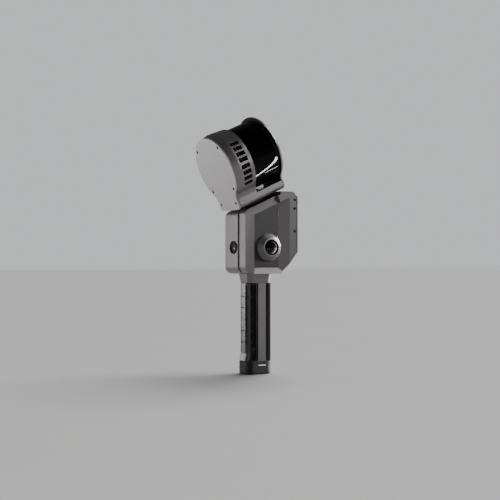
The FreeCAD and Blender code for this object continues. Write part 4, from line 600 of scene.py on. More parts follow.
class ScannerFinishes(bpy.types.PropertyGroup):
    """Colours and roughness of the scanner's surfaces."""

    body_colour: colour_property("Body metal", "Colour of the anodised shells", (0.20, 0.19, 0.194))
    plate_colour: colour_property("Front plate", "Colour of the light plate on the head", (0.42, 0.405, 0.41))
    window_colour: colour_property("Window", "Colour of the dark drum window", (0.003, 0.003, 0.0035))
    rubber_colour: colour_property("Rubber", "Colour of the grips", (0.0035, 0.0035, 0.004))
    light_colour: colour_property("Lights", "Colour of the battery lights and the ring", (0.75, 0.95, 0.85))
    body_roughness: FloatProperty(
        name="Metal roughness", description="Roughness of the anodised shells", default=0.42, min=0.1, max=0.9
    )
    light_strength: FloatProperty(
        name="Light strength", description="How bright the lights and the ring are", default=1.6, min=0.0,
        max=20.0,
    )


class SCANNER_OT_finishes(bpy.types.Operator):
    """Shader groups, finishes and geometry trees that the other steps use"""

    bl_idname = "scanner.finishes"
    bl_label = "Make the finishes"

    def execute(self, context):
        chosen = context.scene.scanner_finishes
        GROUPS["grain"] = grain_group()
        GROUPS["handling"] = handling_group()
        GROUPS["dust"] = dust_group()
        SHAPE_TREES["screws"] = screw_tree()
        SHAPE_TREES["lights"] = light_tree()
        SHAPE_TREES["ring"] = ring_tree()
        body = tuple(chosen.body_colour)
        blasted_metal("body_metal", body, chosen.body_roughness, 0.75)
        blasted_metal("plate_metal", tuple(chosen.plate_colour), chosen.body_roughness + 0.06, 0.55)
        blasted_metal("inner_metal", (0.05, 0.05, 0.053), 0.5, 0.6)
        blasted_metal("camera_black", (0.015, 0.015, 0.017), 0.45, 0.3)
        blasted_metal("button_metal", shade(body, 1.15), 0.35, 0.85)
        polished_black("window_black", tuple(chosen.window_colour), 0.015)
        side_metal("panel_metal", body, chosen.body_roughness)
        blasted_metal("frame_metal", shade(body, 0.85), chosen.body_roughness, 0.8)
        rim_metal("end_metal", body, 0.32)
        moulded_rubber("rubber_black", tuple(chosen.rubber_colour))
        moulded_rubber("door_rubber", (0.03, 0.03, 0.032), 0.68)
        turned_metal("steel", (0.56, 0.56, 0.57), 0.3)
        turned_metal("black_steel", (0.07, 0.07, 0.075), 0.38)
        turned_metal("magnet_nickel", (0.62, 0.60, 0.56), 0.24)
        turned_metal("thread_brass", (0.72, 0.53, 0.24), 0.28)
        turned_metal("coil_copper", (0.62, 0.27, 0.12), 0.35)
        blasted_metal("bezel_black", (0.012, 0.012, 0.013), 0.34, 0.4, 0.01 * MM)
        blasted_metal("baffle_black", (0.004, 0.004, 0.0045), 0.6, 0.0)
        blasted_metal("cap_plastic", (0.014, 0.014, 0.015), 0.7, 0.0)
        clear_glass("lens_glass", (0.5, 0.52, 0.56))
        coated_lens("coated_lens", (0.012, 0.010, 0.030))
        circuit_board("board_green", (0.015, 0.085, 0.04))
        wrapped_cell("cell_wrap", (0.05, 0.16, 0.38))
        lit_plastic("light_pipe", tuple(chosen.light_colour), chosen.light_strength)
        return {"FINISHED"}


# Geometry node trees for what repeats and for round rings


def new_shape_tree(name, numbers, takes_points=False):
    """A geometry node tree with named inputs and a material: its graph and its two ends' sockets."""
    tree = bpy.data.node_groups.new(name, "GeometryNodeTree")
    if takes_points:
        tree.interface.new_socket("Points", in_out="INPUT", socket_type="NodeSocketGeometry")
    for word, value in numbers:
        socket = tree.interface.new_socket(word, in_out="INPUT", socket_type="NodeSocketFloat")
        socket.default_value = value
    tree.interface.new_socket("Material", in_out="INPUT", socket_type="NodeSocketMaterial")
    tree.interface.new_socket("Geometry", in_out="OUTPUT", socket_type="NodeSocketGeometry")
    graph = Graph(tree)
    entry = graph.add("NodeGroupInput").outputs
    leave = graph.add("NodeGroupOutput").inputs
    return graph, entry, leave


def close_shape_tree(graph, entry, leave, shape):
    """Ends a tree: instances made real, then the material."""
    real = graph.add("GeometryNodeRealizeInstances", {0: shape}).outputs[0]
    dressed = graph.add("GeometryNodeSetMaterial", {"Geometry": real, "Material": entry["Material"]})
    graph.join(dressed.outputs[0], leave["Geometry"])
    return graph.tree


def raised(graph, shape, height):
    """A shape moved up along its own Z."""
    lift = graph.add("ShaderNodeCombineXYZ", {"Z": height}).outputs[0]
    return graph.add("GeometryNodeTransform", {"Geometry": shape, "Translation": lift}).outputs[0]


def cylinder(graph, sides, radius, depth, top):
    """A capped cylinder whose upper face lies at a height."""
    made = graph.add("GeometryNodeMeshCylinder", {"Vertices": sides, "Radius": radius, "Depth": depth})
    middle = graph.maths("SUBTRACT", top, graph.maths("MULTIPLY", depth, 0.5))
    return raised(graph, made.outputs["Mesh"], middle)


def crowned_rod(graph, sides, radius, depth, crown, narrow):
    """A round rod whose upper end narrows over its crown and ends at the origin."""
    below = graph.maths("MULTIPLY", crown, -1.0)
    rod = cylinder(graph, sides, radius, depth, below)
    cone = graph.add("GeometryNodeMeshCone", {
        "Vertices": sides, "Radius Top": narrow, "Radius Bottom": radius, "Depth": crown,
    })
    whole = graph.add("GeometryNodeMeshBoolean", operation="UNION")
    graph.join(raised(graph, cone.outputs["Mesh"], below), whole.inputs["Mesh 2"])
    graph.join(rod, whole.inputs["Mesh 2"])
    return whole.outputs[0]


def instanced(graph, points, shape):
    """A shape on every point, its Z along the point's own aim."""
    aim = graph.add("GeometryNodeInputNamedAttribute", {"Name": "aim"}, data_type="FLOAT_VECTOR").outputs[0]
    turn = graph.add("FunctionNodeAlignRotationToVector", {"Vector": aim}, axis="Z").outputs[0]
    made = graph.add("GeometryNodeInstanceOnPoints", {"Points": points, "Instance": shape, "Rotation": turn})
    return made.outputs[0]


def screw_tree():
    """Socket screws: a bevelled head with a hexagon socket, and its shank, on every point."""
    graph, entry, leave = new_shape_tree("Socket screws", [
        ("Head radius", 2.4 * MM), ("Head height", 1.2 * MM), ("Bevel", 0.25 * MM),
        ("Socket radius", 1.3 * MM), ("Socket depth", 0.8 * MM),
        ("Shank radius", 1.45 * MM), ("Shank length", 7 * MM),
    ], takes_points=True)
    depth = graph.maths("SUBTRACT", entry["Head height"], entry["Bevel"])
    narrow = graph.maths("SUBTRACT", entry["Head radius"], entry["Bevel"])
    head = crowned_rod(graph, 40, entry["Head radius"], depth, entry["Bevel"], narrow)
    twice = graph.maths("MULTIPLY", entry["Socket depth"], 2.0)
    socket = cylinder(graph, 6, entry["Socket radius"], twice, entry["Socket depth"])
    opened = graph.add("GeometryNodeMeshBoolean", {"Mesh 1": head}, operation="DIFFERENCE")
    graph.join(socket, opened.inputs["Mesh 2"])
    under = graph.maths("MULTIPLY", entry["Head height"], -1.0)
    shank = cylinder(graph, 24, entry["Shank radius"], entry["Shank length"], under)
    whole = graph.add("GeometryNodeJoinGeometry")
    graph.join(opened.outputs[0], whole.inputs[0])
    graph.join(shank, whole.inputs[0])
    screws = instanced(graph, entry["Points"], whole.outputs[0])
    return close_shape_tree(graph, entry, leave, screws)


def light_tree():
    """Light pipes: a round rod with a shallow crown, on every point."""
    graph, entry, leave = new_shape_tree("Light pipes", [
        ("Radius", 0.65 * MM), ("Length", 3.0 * MM), ("Crown", 0.12 * MM),
    ], takes_points=True)
    narrow = graph.maths("MULTIPLY", entry["Radius"], 0.8)
    pipe = crowned_rod(graph, 32, entry["Radius"], entry["Length"], entry["Crown"], narrow)
    return close_shape_tree(graph, entry, leave, instanced(graph, entry["Points"], pipe))


def ring_tree():
    """A round ring about Z with a rectangular section and rounded edges."""
    graph, entry, leave = new_shape_tree("Round ring", [
        ("Inner radius", 49.1 * MM), ("Outer radius", 51.3 * MM), ("Low", 0.0), ("High", 10 * MM),
        ("Edge", 0.3 * MM), ("Sides", 192.0),
    ])
    total = graph.maths("ADD", entry["Inner radius"], entry["Outer radius"])
    path = graph.add("GeometryNodeCurvePrimitiveCircle", {
        "Resolution": entry["Sides"], "Radius": graph.maths("MULTIPLY", total, 0.5),
    })
    section = graph.add("GeometryNodeCurvePrimitiveQuadrilateral", {
        "Width": graph.maths("SUBTRACT", entry["Outer radius"], entry["Inner radius"]),
        "Height": graph.maths("SUBTRACT", entry["High"], entry["Low"]),
    })
    rounded = graph.add("GeometryNodeFilletCurve", {
        "Curve": section.outputs[0], "Count": 4, "Radius": entry["Edge"],
    }, mode="POLY")
    swept = graph.add("GeometryNodeCurveToMesh", {
        "Curve": path.outputs[0], "Profile Curve": rounded.outputs[0],
    })
    middle = graph.maths("MULTIPLY", graph.maths("ADD", entry["Low"], entry["High"]), 0.5)
    return close_shape_tree(graph, entry, leave, raised(graph, swept.outputs[0], middle))


def grown(name, mesh, tree, material, **sizes):
    """A piece whose mesh a shape tree makes, from its points if any and with its own sizes."""
    piece = link(name, mesh)
    growth = piece.modifiers.new("growth", "NODES")
    growth.node_group = SHAPE_TREES[tree]
    for socket in SHAPE_TREES[tree].interface.items_tree:
        word = socket.name.lower().replace(" ", "_")
        if word in sizes:
            growth[socket.identifier] = sizes[word]
        if socket.name == "Material" and socket.in_out == "INPUT":
            growth[socket.identifier] = material
    apply_modifiers(piece)
    piece.data.validate(clean_customdata=False)
    return piece


def aimed_spots(place, spots, aim):
    """Spots in millimetres of a frame, as places and aims in the object's frame."""
    turned = tuple((place.to_3x3() @ Vector(aim)).normalized())
    return [(place @ Vector([value * MM for value in spot]), turned) for spot in spots]


def point_mesh(name, aimed):
    """Loose points, each with its aim."""
    mesh = bpy.data.meshes.new(name)
    mesh.from_pydata([spot for spot, _ in aimed], [], [])
    aims = mesh.attributes.new("aim", "FLOAT_VECTOR", "POINT")
    aims.data.foreach_set("vector", [value for _, aim in aimed for value in aim])
    return mesh


def ring_piece(name, place, body, finish, replaced, **sizes):
    """A round ring in a frame, grown by its tree."""
    piece = grown(name, bpy.data.meshes.new(name), "ring", FINISHES[finish], **sizes)
    piece.data.transform(place)
    even_shading(piece)
    finish_piece(piece, body, FINISHES[finish], replaced)


def lathe_piece(name, profile, place, body, finish, replaced=(), count=96, degrees=32):
    """A turned piece: a closed profile of (radius, station) in millimetres, in a frame."""
    profile = [(radius * MM, station * MM) for radius, station in profile]
    piece = link(name, lathe(name, profile, place, count))
    even_shading(piece, degrees)
    finish_piece(piece, body, FINISHES[finish], replaced)


# Shells


SHELLS = (
    "front_plate", "vent_band", "head_base", "end_plate", "lidar_base", "lidar_cap", "turntable_hub",
    "main_housing", "front_spine", "right_side_panel", "left_side_panel", "rear_cover", "handle_frame",
    "base_cap", "port_door",
)
SHELL_FINISH = {
    "right_side_panel": "panel_metal",
    "left_side_panel": "panel_metal",
    "base_cap": "cap_plastic",
    "handle_frame": "frame_metal",
    "end_plate": "end_metal",
}
USUAL_EDGE = 0.35 * MM
SHELL_EDGE = {"end_plate": 0.7 * MM}


class SCANNER_OT_shells(bpy.types.Operator):
    """Finished shells from the frame's solids, with rounded edges"""

    bl_idname = "scanner.shells"
    bl_label = "Make the shells"

    def execute(self, context):
        for node in SHELLS:
            finish = FINISHES[SHELL_FINISH.get(node, SLOT_OF[node])]
            shell_piece(f"{node}_shell", node, finish, SHELL_EDGE.get(node, USUAL_EDGE))
        return {"FINISHED"}


# The window's bore and its two ends along the drum
WINDOW_BORE = 49.1 * MM
WINDOW_LOW = -7.5 * MM
WINDOW_HIGH = 40 * MM


class ScannerDrum(bpy.types.PropertyGroup):
    """Sizes of the dark window."""

    window_radius: length_property(
        "Window radius", "Outer radius of the drum window", 51.3 * MM, min=45 * MM, max=51.3 * MM
    )
    window_edge: length_property(
        "Window edge", "Rounding of the window's rims", 0.4 * MM, min=0.05 * MM, max=1 * MM
    )


class SCANNER_OT_window(bpy.types.Operator):
    """Dark polished drum window"""

    bl_idname = "scanner.window"
    bl_label = "Make the drum window"

    def execute(self, context):
        chosen = context.scene.scanner_drum
        ring_piece(
            "drum_window", DRUM, "head", "window_black", ["lidar_window"], inner_radius=WINDOW_BORE,
            outer_radius=chosen.window_radius, low=WINDOW_LOW, high=WINDOW_HIGH, edge=chosen.window_edge,
        )
        return {"FINISHED"}


# Screws, in millimetres

# Places on the head's plates, across and then down, and where the plates' seats lie along the drum
PLATE_SPOTS = ((-34.5, -35), (34.5, -35), (-34.5, 33.5), (34.5, 33.5), (-24, 57), (24, 57))
PLATE_SEAT = -46.2
END_SPOTS = ((-30, -30), (30, -30), (-30, 30), (30, 30), (-18, 61), (18, 61))
END_SEAT = 46.1
# Places on the turntable's hub, in the turntable's frame
HUB_SPOTS = ((15, 4.4), (-15, 4.4), (15, -4.4), (-15, -4.4))
HUB_SEAT = 20.7
# Places in the object's frame: at the rear cover's sides, and on the collar
COVER_SIDE = 39.95
COVER_BACK = 47.3
COVER_HEIGHTS = (229.3, 266.0, 279.8)
COLLAR_SPOTS = ((-11, -17), (11, -17), (-11, 13), (11, 13))
COLLAR_SEAT = 167
WORLD = Matrix.Identity(4)


def screw_piece(node, aimed, finish, **sizes):
    """The screws of one node, grown on its aimed spots. Sizes are in millimetres."""
    scaled = {word: value * MM for word, value in sizes.items()}
    piece = grown(f"{node}_set", point_mesh(node, aimed), "screws", FINISHES[finish], **scaled)
    smooth(piece.data, degrees=25)
    finish_piece(piece, BODY_OF[node], FINISHES[finish], [node])


class SCANNER_OT_screws(bpy.types.Operator):
    """Socket screws of the head's plates, the hub, the rear cover and the collar"""

    bl_idname = "scanner.screws"
    bl_label = "Make the screws"

    def execute(self, context):
        plate = aimed_spots(DRUM, [(x, y, PLATE_SEAT) for x, y in PLATE_SPOTS], (0, 0, -1))
        screw_piece("front_plate_screws", plate, "black_steel")
        end = aimed_spots(DRUM, [(x, y, END_SEAT) for x, y in END_SPOTS], (0, 0, 1))
        screw_piece("end_plate_screws", end, "black_steel", head_height=1.4, shank_length=5)
        hub = aimed_spots(TURNTABLE, [(x, y, HUB_SEAT) for x, y in HUB_SPOTS], (0, 0, 1))
        screw_piece("hub_screws", hub, "steel", head_height=2, socket_depth=1.2, shank_length=16.5)
        sides = []
        for hand in (-1, 1):
            spots = [(hand * COVER_SIDE, COVER_BACK, height) for height in COVER_HEIGHTS]
            sides += aimed_spots(WORLD, spots, (hand, 0, 0))
        screw_piece(
            "rear_cover_screws", sides, "black_steel", head_radius=2, head_height=1.6, socket_radius=1.1,
            socket_depth=1, shank_length=5,
        )
        collar = aimed_spots(WORLD, [(x, y, COLLAR_SEAT) for x, y in COLLAR_SPOTS], (0, 0, 1))
        screw_piece("collar_screws", collar, "steel", head_height=2, socket_depth=1.2, shank_length=12)
        return {"FINISHED"}


# Cameras, in millimetres

# How far out the tops of the bosses and the face of the front camera lie
SIDE_TOP = 38.0
FRONT_FACE = 42.5
SIDE_BEZEL = [(10.9, 0), (12.8, 0), (12.8, 0.9), (12.0, 1.8), (11.4, 1.8), (10.9, 1.0)]
FRONT_BEZEL = [(7.8, 0), (8.4, 0), (10.4, 0), (10.4, 1.7), (9.7, 2.3), (8.9, 2.3), (7.8, 0.6)]
FRONT_BARREL = [
    (0, -18.5), (8.3, -18.5), (8.3, -0.05), (7.7, -0.05), (7.1, -0.5), (6.3, -0.6), (5.9, -1.0), (5.1, -1.1),
    (4.8, -1.5), (4.35, -1.5), (4.35, -2.2), (3.3, -2.6), (3.3, -4.0), (0, -4.0),
]
# The upright foot of a dome ends this far under its rim
FOOT_GAP = 0.1
# How much of one step's width and depth a barrel's slope takes, before it drops to the next ledge
SLOPE_WIDTH = 0.7
SLOPE_DEPTH = 0.45


def dome_section(radius, foot, rim, sphere, apex, wall, steps=16):
    """Closed half section of a domed shell: upright foot, outer dome, inner dome."""
    centre = apex - sphere
    outer_angle = math.asin(min(radius / sphere, 1.0))
    inner_sphere = sphere - wall
    inner_rim = math.acos(max(min((foot - centre) / inner_sphere, 1.0), -1.0))
    section = [(radius, foot), (radius, rim - FOOT_GAP)]
    for i in range(steps + 1):
        angle = outer_angle * (1 - i / steps)
        section.append((sphere * math.sin(angle), centre + sphere * math.cos(angle)))
    for i in range(steps + 1):
        angle = inner_rim * i / steps
        section.append((inner_sphere * math.sin(angle), centre + inner_sphere * math.cos(angle)))
    return section


def stepped_barrel(outer, low, top, mouth, floor, depth, steps):
    """Half section of a lens barrel over its foot: a stepped funnel down to a flat floor."""
    section = [(outer, low), (outer, top)]
    for i in range(steps):
        share = i / steps
        radius = mouth + (floor - mouth) * share
        station = top - depth * share
        narrower = radius + (floor - mouth) / steps * SLOPE_WIDTH
        section += [(radius, station), (narrower, station - depth / steps * SLOPE_DEPTH)]
        section.append((narrower, station - depth / steps))
    section += [(floor, top - depth), (0, top - depth)]
    return section


class SCANNER_OT_side_cameras(bpy.types.Operator):
    """Fisheye cameras in the domed bosses: bezel, glass dome, inner lens and stepped barrel"""

    bl_idname = "scanner.side_cameras"
    bl_label = "Make the side cameras"

    def execute(self, context):
        back, height = SIDE_EYE
        for word, hand in (("right", 1), ("left", -1)):
            place = frame_along_x((hand * SIDE_TOP * MM, back * MM, height * MM), hand)
            bezel = rounded_loop(SIDE_BEZEL, [0, 0, 0.3, 0.25, 0.15, 0.15], 3)
            lathe_piece(f"{word}_bezel", bezel, place, "body", "bezel_black", [f"{word}_camera_bezel"], 128)
            dome = dome_section(radius=10.8, foot=-1.5, rim=0.4, sphere=14.16, apex=5.3, wall=1.5)
            lathe_piece(f"{word}_dome", dome, place, "body", "lens_glass", [f"{word}_camera_lens"], 96, 50)
            barrel = [(0, -22), (8, -22), (8, -16)]
            barrel += stepped_barrel(11.4, low=-16, top=-1.6, mouth=10.4, floor=5.2, depth=5.6, steps=5)
            lathe_piece(
                f"{word}_barrel", barrel, place, "body", "baffle_black", [f"{word}_camera_barrel"], 96, 20
            )
            inner = dome_section(radius=5.2, foot=-7.2, rim=-6.4, sphere=7.4, apex=-4.3, wall=1.6, steps=10)
            lathe_piece(f"{word}_inner_lens", inner, place, "body", "coated_lens", (), 64, 50)
        return {"FINISHED"}


class SCANNER_OT_front_camera(bpy.types.Operator):
    """Front camera: ring, funnel, small lens and barrel"""

    bl_idname = "scanner.front_camera"
    bl_label = "Make the front camera"

    def execute(self, context):
        place = frame_from((0, -FRONT_FACE * MM, SIDE_EYE[1] * MM), (0, -1, 0))
        bezel = rounded_loop(FRONT_BEZEL, [0, 0, 0, 0.3, 0.2, 0.2, 0.1], 3)
        lathe_piece("front_bezel", bezel, place, "body", "bezel_black", ["front_camera_bezel"], 96)
        lathe_piece(
            "front_barrel", FRONT_BARREL, place, "body", "baffle_black", ["front_camera_barrel"], 96, 20
        )
        dome = dome_section(radius=4.25, foot=-1.9, rim=-1.2, sphere=7.0, apex=-0.1, wall=0.9, steps=10)
        lathe_piece("front_dome", dome, place, "body", "lens_glass", ["front_camera_lens"], 64, 50)
        inner = dome_section(radius=3.2, foot=-3.9, rim=-3.4, sphere=5.0, apex=-2.4, wall=0.9, steps=8)
        lathe_piece("front_inner_lens", inner, place, "body", "coated_lens", (), 48, 50)
        return {"FINISHED"}


# Handle


class ScannerGrips(bpy.types.PropertyGroup):
    """Sizes of the rubber grips."""

    half_width: length_property(
        "Half width", "Half width of the grips", 16.5 * MM, min=14 * MM, max=16.5 * MM
    )
    slit_depth: length_property(
        "Slit depth", "Depth of the five slits at the front", 1.4 * MM, min=0.0, max=2 * MM
    )
    recess_depth: length_property(
        "Recess depth", "Depth of the recess in the sides", 1.3 * MM, min=0.0, max=2 * MM
    )


# Grips, in millimetres: heights over the floor, and depths from the handle's axis, which lies at
# HANDLE_BACK from the object's own
GRIP_LOW = 21.0
GRIP_HIGH = 146.0
GRIP_DEPTH = 23.0
GRIP_CORNER = 11.0
GRIP_WALL = 3.2
HANDLE_BACK = -2.0
END_ROUND = 0.7
# The strip between the grips: its middle and half width, and how it widens near the grips' ends
STRIP_MIDDLE = 2.3
STRIP_HALF = 7.7
STRIP_FLARE = 2.2
FLARE_HEIGHT = 3.0
# The lip at the front grip's foot
LIP_REACH = 2.4
LIP_HEIGHT = 12.0
# The slits at the front: their heights, how steep their sides are, where their edges lie, and how deep
# behind the front they are looked for
SLIT_HEIGHTS = [51.2 + 18.4 * i for i in range(5)]
SLIT_SLOPE = 2.8
SLIT_EDGE = (0.35, 0.6)
SLIT_BAND = 3.0
# The two upright grooves of the front: where their edges and their ends begin and finish
GROOVE_DEPTH = 1.9
GROOVE_INNER = (6.5, 6.9)
GROOVE_OUTER = (9.3, 9.7)
GROOVE_FOOT = (33.0, 35.0)
GROOVE_HEAD = (142.0, 143.2)
# The side recess: its border, and how far the border steps back at the slits and at the foot
RECESS_LINE = -18.0
RECESS_EDGE = 0.7
RECESS_FOOT = (22.4, 23.4)
RECESS_HEAD = (142.2, 143.2)
TOOTH_REACH = 4.8
TOOTH_HALF = 3.2
FOOT_LOW = 23.0
FOOT_HIGH = 41.0
FOOT_REACH = 8.5
# Where the mesh has its points: along the flank, round the corner, across the front, and its rows
FLANK_STEPS = 9
GRIP_ANGLES = [90 - 3 * i for i in range(22)] + [24, 21.5, 20.4, 19, 17, 14, 11, 9, 7.8, 6.6, 5, 3, 0]
FACE_POINTS = (4.0, 2.0)
ROW_COUNT = 150
END_STEPS = (0, 0.08, 0.22, 0.45, END_ROUND)
SLIT_STEPS = (-0.8, -0.55, -0.42, -0.2, 0, 0.2, 0.42, 0.55, 0.8)
SLIT_CLEARANCE = 0.95


def eased(value, low, high):
    """Zero under low, one over high, and smooth between."""
    share = min(max((value - low) / (high - low), 0.0), 1.0)
    return share * share * (3 - 2 * share)


def grip_edge(height, front):
    """Place along the depth where a grip meets the strip, wider apart at both ends."""
    depth = min(height - GRIP_LOW, GRIP_HIGH - height)
    flare = STRIP_FLARE * max(1 - depth / FLARE_HEIGHT, 0.0)
    return STRIP_MIDDLE - STRIP_HALF - flare if front else STRIP_MIDDLE + STRIP_HALF + flare


def grip_reach(height, front):
    """How far the grip reaches along the depth: the front flares to a lip at the foot."""
    lip = LIP_REACH * max(1 - (height - GRIP_LOW) / LIP_HEIGHT, 0.0) if front else 0.0
    return GRIP_DEPTH + lip


def grip_section(height, wide, front):
    """Half outline of a grip at one height, from one strip round to the other: (x, y, normal x, normal y)."""
    edge = abs(grip_edge(height, front))
    reach = grip_reach(height, front)
    start = reach - GRIP_CORNER
    half = []
    for i in range(FLANK_STEPS):
        half.append((wide, edge + (start - edge) * (i / FLANK_STEPS), 1.0, 0.0))
    for degrees in GRIP_ANGLES:
        turn = math.radians(degrees)
        x = wide - GRIP_CORNER + GRIP_CORNER * math.sin(turn)
        y = start + GRIP_CORNER * math.cos(turn)
        half.append((x, y, math.sin(turn), math.cos(turn)))
    half += [(x, reach, 0.0, 1.0) for x in FACE_POINTS]
    outline = half + [(0.0, reach, 0.0, 1.0)] + [(-x, y, -nx, ny) for x, y, nx, ny in reversed(half)]
    sign = -1 if front else 1
    return [(x, sign * y, nx, sign * ny) for x, y, nx, ny in outline]


def from_slit(height):
    """Distance to the nearest slit."""
    return min(abs(height - middle) for middle in SLIT_HEIGHTS)


def groove_share(x, height):
    """One inside the two upright grooves of the front, and zero beside them."""
    across = eased(abs(x), *GROOVE_INNER) * (1 - eased(abs(x), *GROOVE_OUTER))
    return across * eased(height, *GROOVE_FOOT) * (1 - eased(height, *GROOVE_HEAD))


def side_share(y, height):
    """One inside the toothed recess of a side, whose border steps back at each slit and at the foot."""
    tooth = TOOTH_REACH * max(1 - from_slit(height) / TOOTH_HALF, 0.0)
    rise = min((height - FOOT_LOW) / (FOOT_HIGH - FOOT_LOW), 1 - (height - FOOT_HIGH) / TOOTH_HALF)
    line = RECESS_LINE + max(tooth, FOOT_REACH * max(rise, 0.0))
    inside = eased(y, line, line + RECESS_EDGE) * (1 - eased(height, *RECESS_HEAD))
    return inside * eased(height, *RECESS_FOOT)


def carved(x, y, height, chosen):
    """A point of the front grip after its slits, grooves and side recesses are carved."""
    wide = chosen.half_width / MM
    slit_floor = -GRIP_DEPTH + chosen.slit_depth / MM - SLIT_SLOPE * from_slit(height)
    y = max(y, slit_floor)
    groove_floor = GROOVE_DEPTH - GRIP_DEPTH
    if y < groove_floor:
        y += (groove_floor - y) * groove_share(x, height)
    limit = wide - chosen.recess_depth / MM * side_share(y, height)
    return math.copysign(min(abs(x), limit), x), y


def mark_recesses(mesh):
    """Keeps on the mesh how far each point lies in a groove, a slit or a side recess, where the rubber is duller
    and painted darker as painted shade.
    """
    shares = []
    for corner in mesh.vertices:
        x, y, height = corner.co / MM
        y -= HANDLE_BACK
        slit = 1 - eased(from_slit(height), *SLIT_EDGE) if y < -GRIP_DEPTH + SLIT_BAND else 0.0
        side = side_share(y, height) if y > RECESS_LINE else 0.0
        front = groove_share(x, height) if y < RECESS_LINE else 0.0
        shares.append(max(slit, side, front))
    mesh.attributes.new("recess", "FLOAT", "POINT").data.foreach_set("value", shares)


def grip_rows(front):
    """Heights of the rows: closer at the ends and at the slits."""
    plain = GRIP_HIGH - GRIP_LOW - 2 * END_ROUND
    rows = [GRIP_LOW + step for step in END_STEPS]
    rows += [GRIP_LOW + END_ROUND + plain * i / ROW_COUNT for i in range(1, ROW_COUNT)]
    rows += [GRIP_HIGH - step for step in END_STEPS]
    if front:
        for middle in SLIT_HEIGHTS:
            rows = [row for row in rows if abs(row - middle) > SLIT_CLEARANCE]
            rows += [middle + step for step in SLIT_STEPS]
    return sorted(rows)


def grip_mesh(name, front, chosen):
    """Closed moulded shell of one grip, in the object's frame."""
    wide = chosen.half_width / MM
    corners = []
    rows = grip_rows(front)
    for height in rows:
        depth = min(height - GRIP_LOW, GRIP_HIGH - height)
        inset = 0.0
        if depth < END_ROUND:
            inset = END_ROUND - math.sqrt(END_ROUND ** 2 - (END_ROUND - depth) ** 2)
        for x, y, nx, ny in grip_section(height, wide, front):
            if front:
                x, y = carved(x, y, height, chosen)
            corners.append((x - nx * inset, y - ny * inset, height))
    across = len(corners) // len(rows)
    outer = len(corners)
    for height in (GRIP_LOW, GRIP_HIGH):
        for x, y, nx, ny in grip_section(height, wide, front):
            corners.append((x - nx * GRIP_WALL, y - ny * GRIP_WALL, height))
    faces = []
    for row in range(len(rows) - 1):
        for column in range(across - 1):
            here = row * across + column
            faces.append((here, here + 1, here + across + 1, here + across))
    last = (len(rows) - 1) * across
    for column in range(across - 1):
        low = outer + column
        high = outer + across + column
        faces.append((low, high, high + 1, low + 1))
        faces.append((column, low, low + 1, column + 1))
        faces.append((last + column, last + column + 1, high + 1, high))
    for column in (0, across - 1):
        side = [row * across + column for row in range(len(rows))]
        faces.append(side + [outer + across + column, outer + column])
    scaled = [(x * MM, (y + HANDLE_BACK) * MM, z * MM) for x, y, z in corners]
    return mesh_from(name, scaled, faces)


class SCANNER_OT_grips(bpy.types.Operator):
    """Moulded rubber grips: slits, grooves, toothed side recesses and the lip at the foot"""

    bl_idname = "scanner.grips"
    bl_label = "Make the grips"

    def execute(self, context):
        chosen = context.scene.scanner_grips
        for node, front in (("front_grip", True), ("rear_grip", False)):
            piece = link(f"{node}_rubber", grip_mesh(node, front, chosen))
            if front:
                mark_recesses(piece.data)
            even_shading(piece, degrees=38)
            finish_piece(piece, BODY_OF[node], FINISHES["rubber_black"], [node])
        return {"FINISHED"}


# The bush's thread, how it runs out at both ends, its play, and the bush's chamfer, in millimetres
THREAD_PITCH = 1.27
THREAD_DEPTH = 0.6
THREAD_END = 0.6
THREAD_PLAY = 0.1
BUSH_CHAMFER = 0.35
# The battery lights: how far out and up they are, the first from the handle's axis, and their spacing
LIGHT_FACE = 17.7
LIGHT_HEIGHT = 14.3
LIGHT_START = -3.0
LIGHT_SPACING = 3.5


def threaded_bush(name, inner, outer, high, sides=64, rows_per_turn=8):
    """A bush whose bore carries a real helical thread."""
    corners = []
    rows = int(high / THREAD_PITCH * rows_per_turn)
    for row in range(rows + 1):
        height = high * row / rows
        ends = eased(height, 0.0, THREAD_END) * (1 - eased(height, high - THREAD_END, high))
        for i in range(sides):
            phase = (height / THREAD_PITCH + i / sides) % 1.0
            ridge = 1 - abs(2 * phase - 1)
            radius = inner + THREAD_DEPTH * (1 - ridge * ends) - THREAD_PLAY
            angle = 2 * math.pi * i / sides
            corners.append((radius * math.cos(angle), radius * math.sin(angle), height))
    for height in (0.0, BUSH_CHAMFER, high):
        reach = outer - (BUSH_CHAMFER if height == 0.0 else 0.0)
        for i in range(sides):
            angle = 2 * math.pi * i / sides
            corners.append((reach * math.cos(angle), reach * math.sin(angle), height))
    rings = list(range(rows + 1)) + [rows + 3, rows + 2, rows + 1, 0]
    faces = []
    for ring, upper in zip(rings, rings[1:]):
        for i in range(sides):
            after = (i + 1) % sides
            faces.append((ring * sides + i, ring * sides + after, upper * sides + after, upper * sides + i))
    scaled = [(x * MM, y * MM, z * MM) for x, y, z in corners]
    return mesh_from(name, scaled, faces)


class SCANNER_OT_handle_details(bpy.types.Operator):
    """Battery lights and the threaded bush in the base"""

    bl_idname = "scanner.handle_details"
    bl_label = "Make the handle's details"

    def execute(self, context):
        first = HANDLE_BACK + LIGHT_START
        spots = [(LIGHT_FACE, first + LIGHT_SPACING * i, LIGHT_HEIGHT) for i in range(4)]
        points = point_mesh("charge_lights", aimed_spots(WORLD, spots, (1, 0, 0)))
        lights = grown("charge_lights", points, "lights", FINISHES["light_pipe"])
        smooth(lights.data, degrees=25)
        finish_piece(lights, "body", FINISHES["light_pipe"], ["battery_lights"])
        bush = link("thread_bush", threaded_bush("thread_bush", inner=3.175, outer=5.45, high=9.4))
        smooth(bush.data, degrees=30)
        finish_piece(bush, "body", FINISHES["thread_brass"], ["tripod_insert"])
        return {"FINISHED"}


# Back of the body, in millimetres

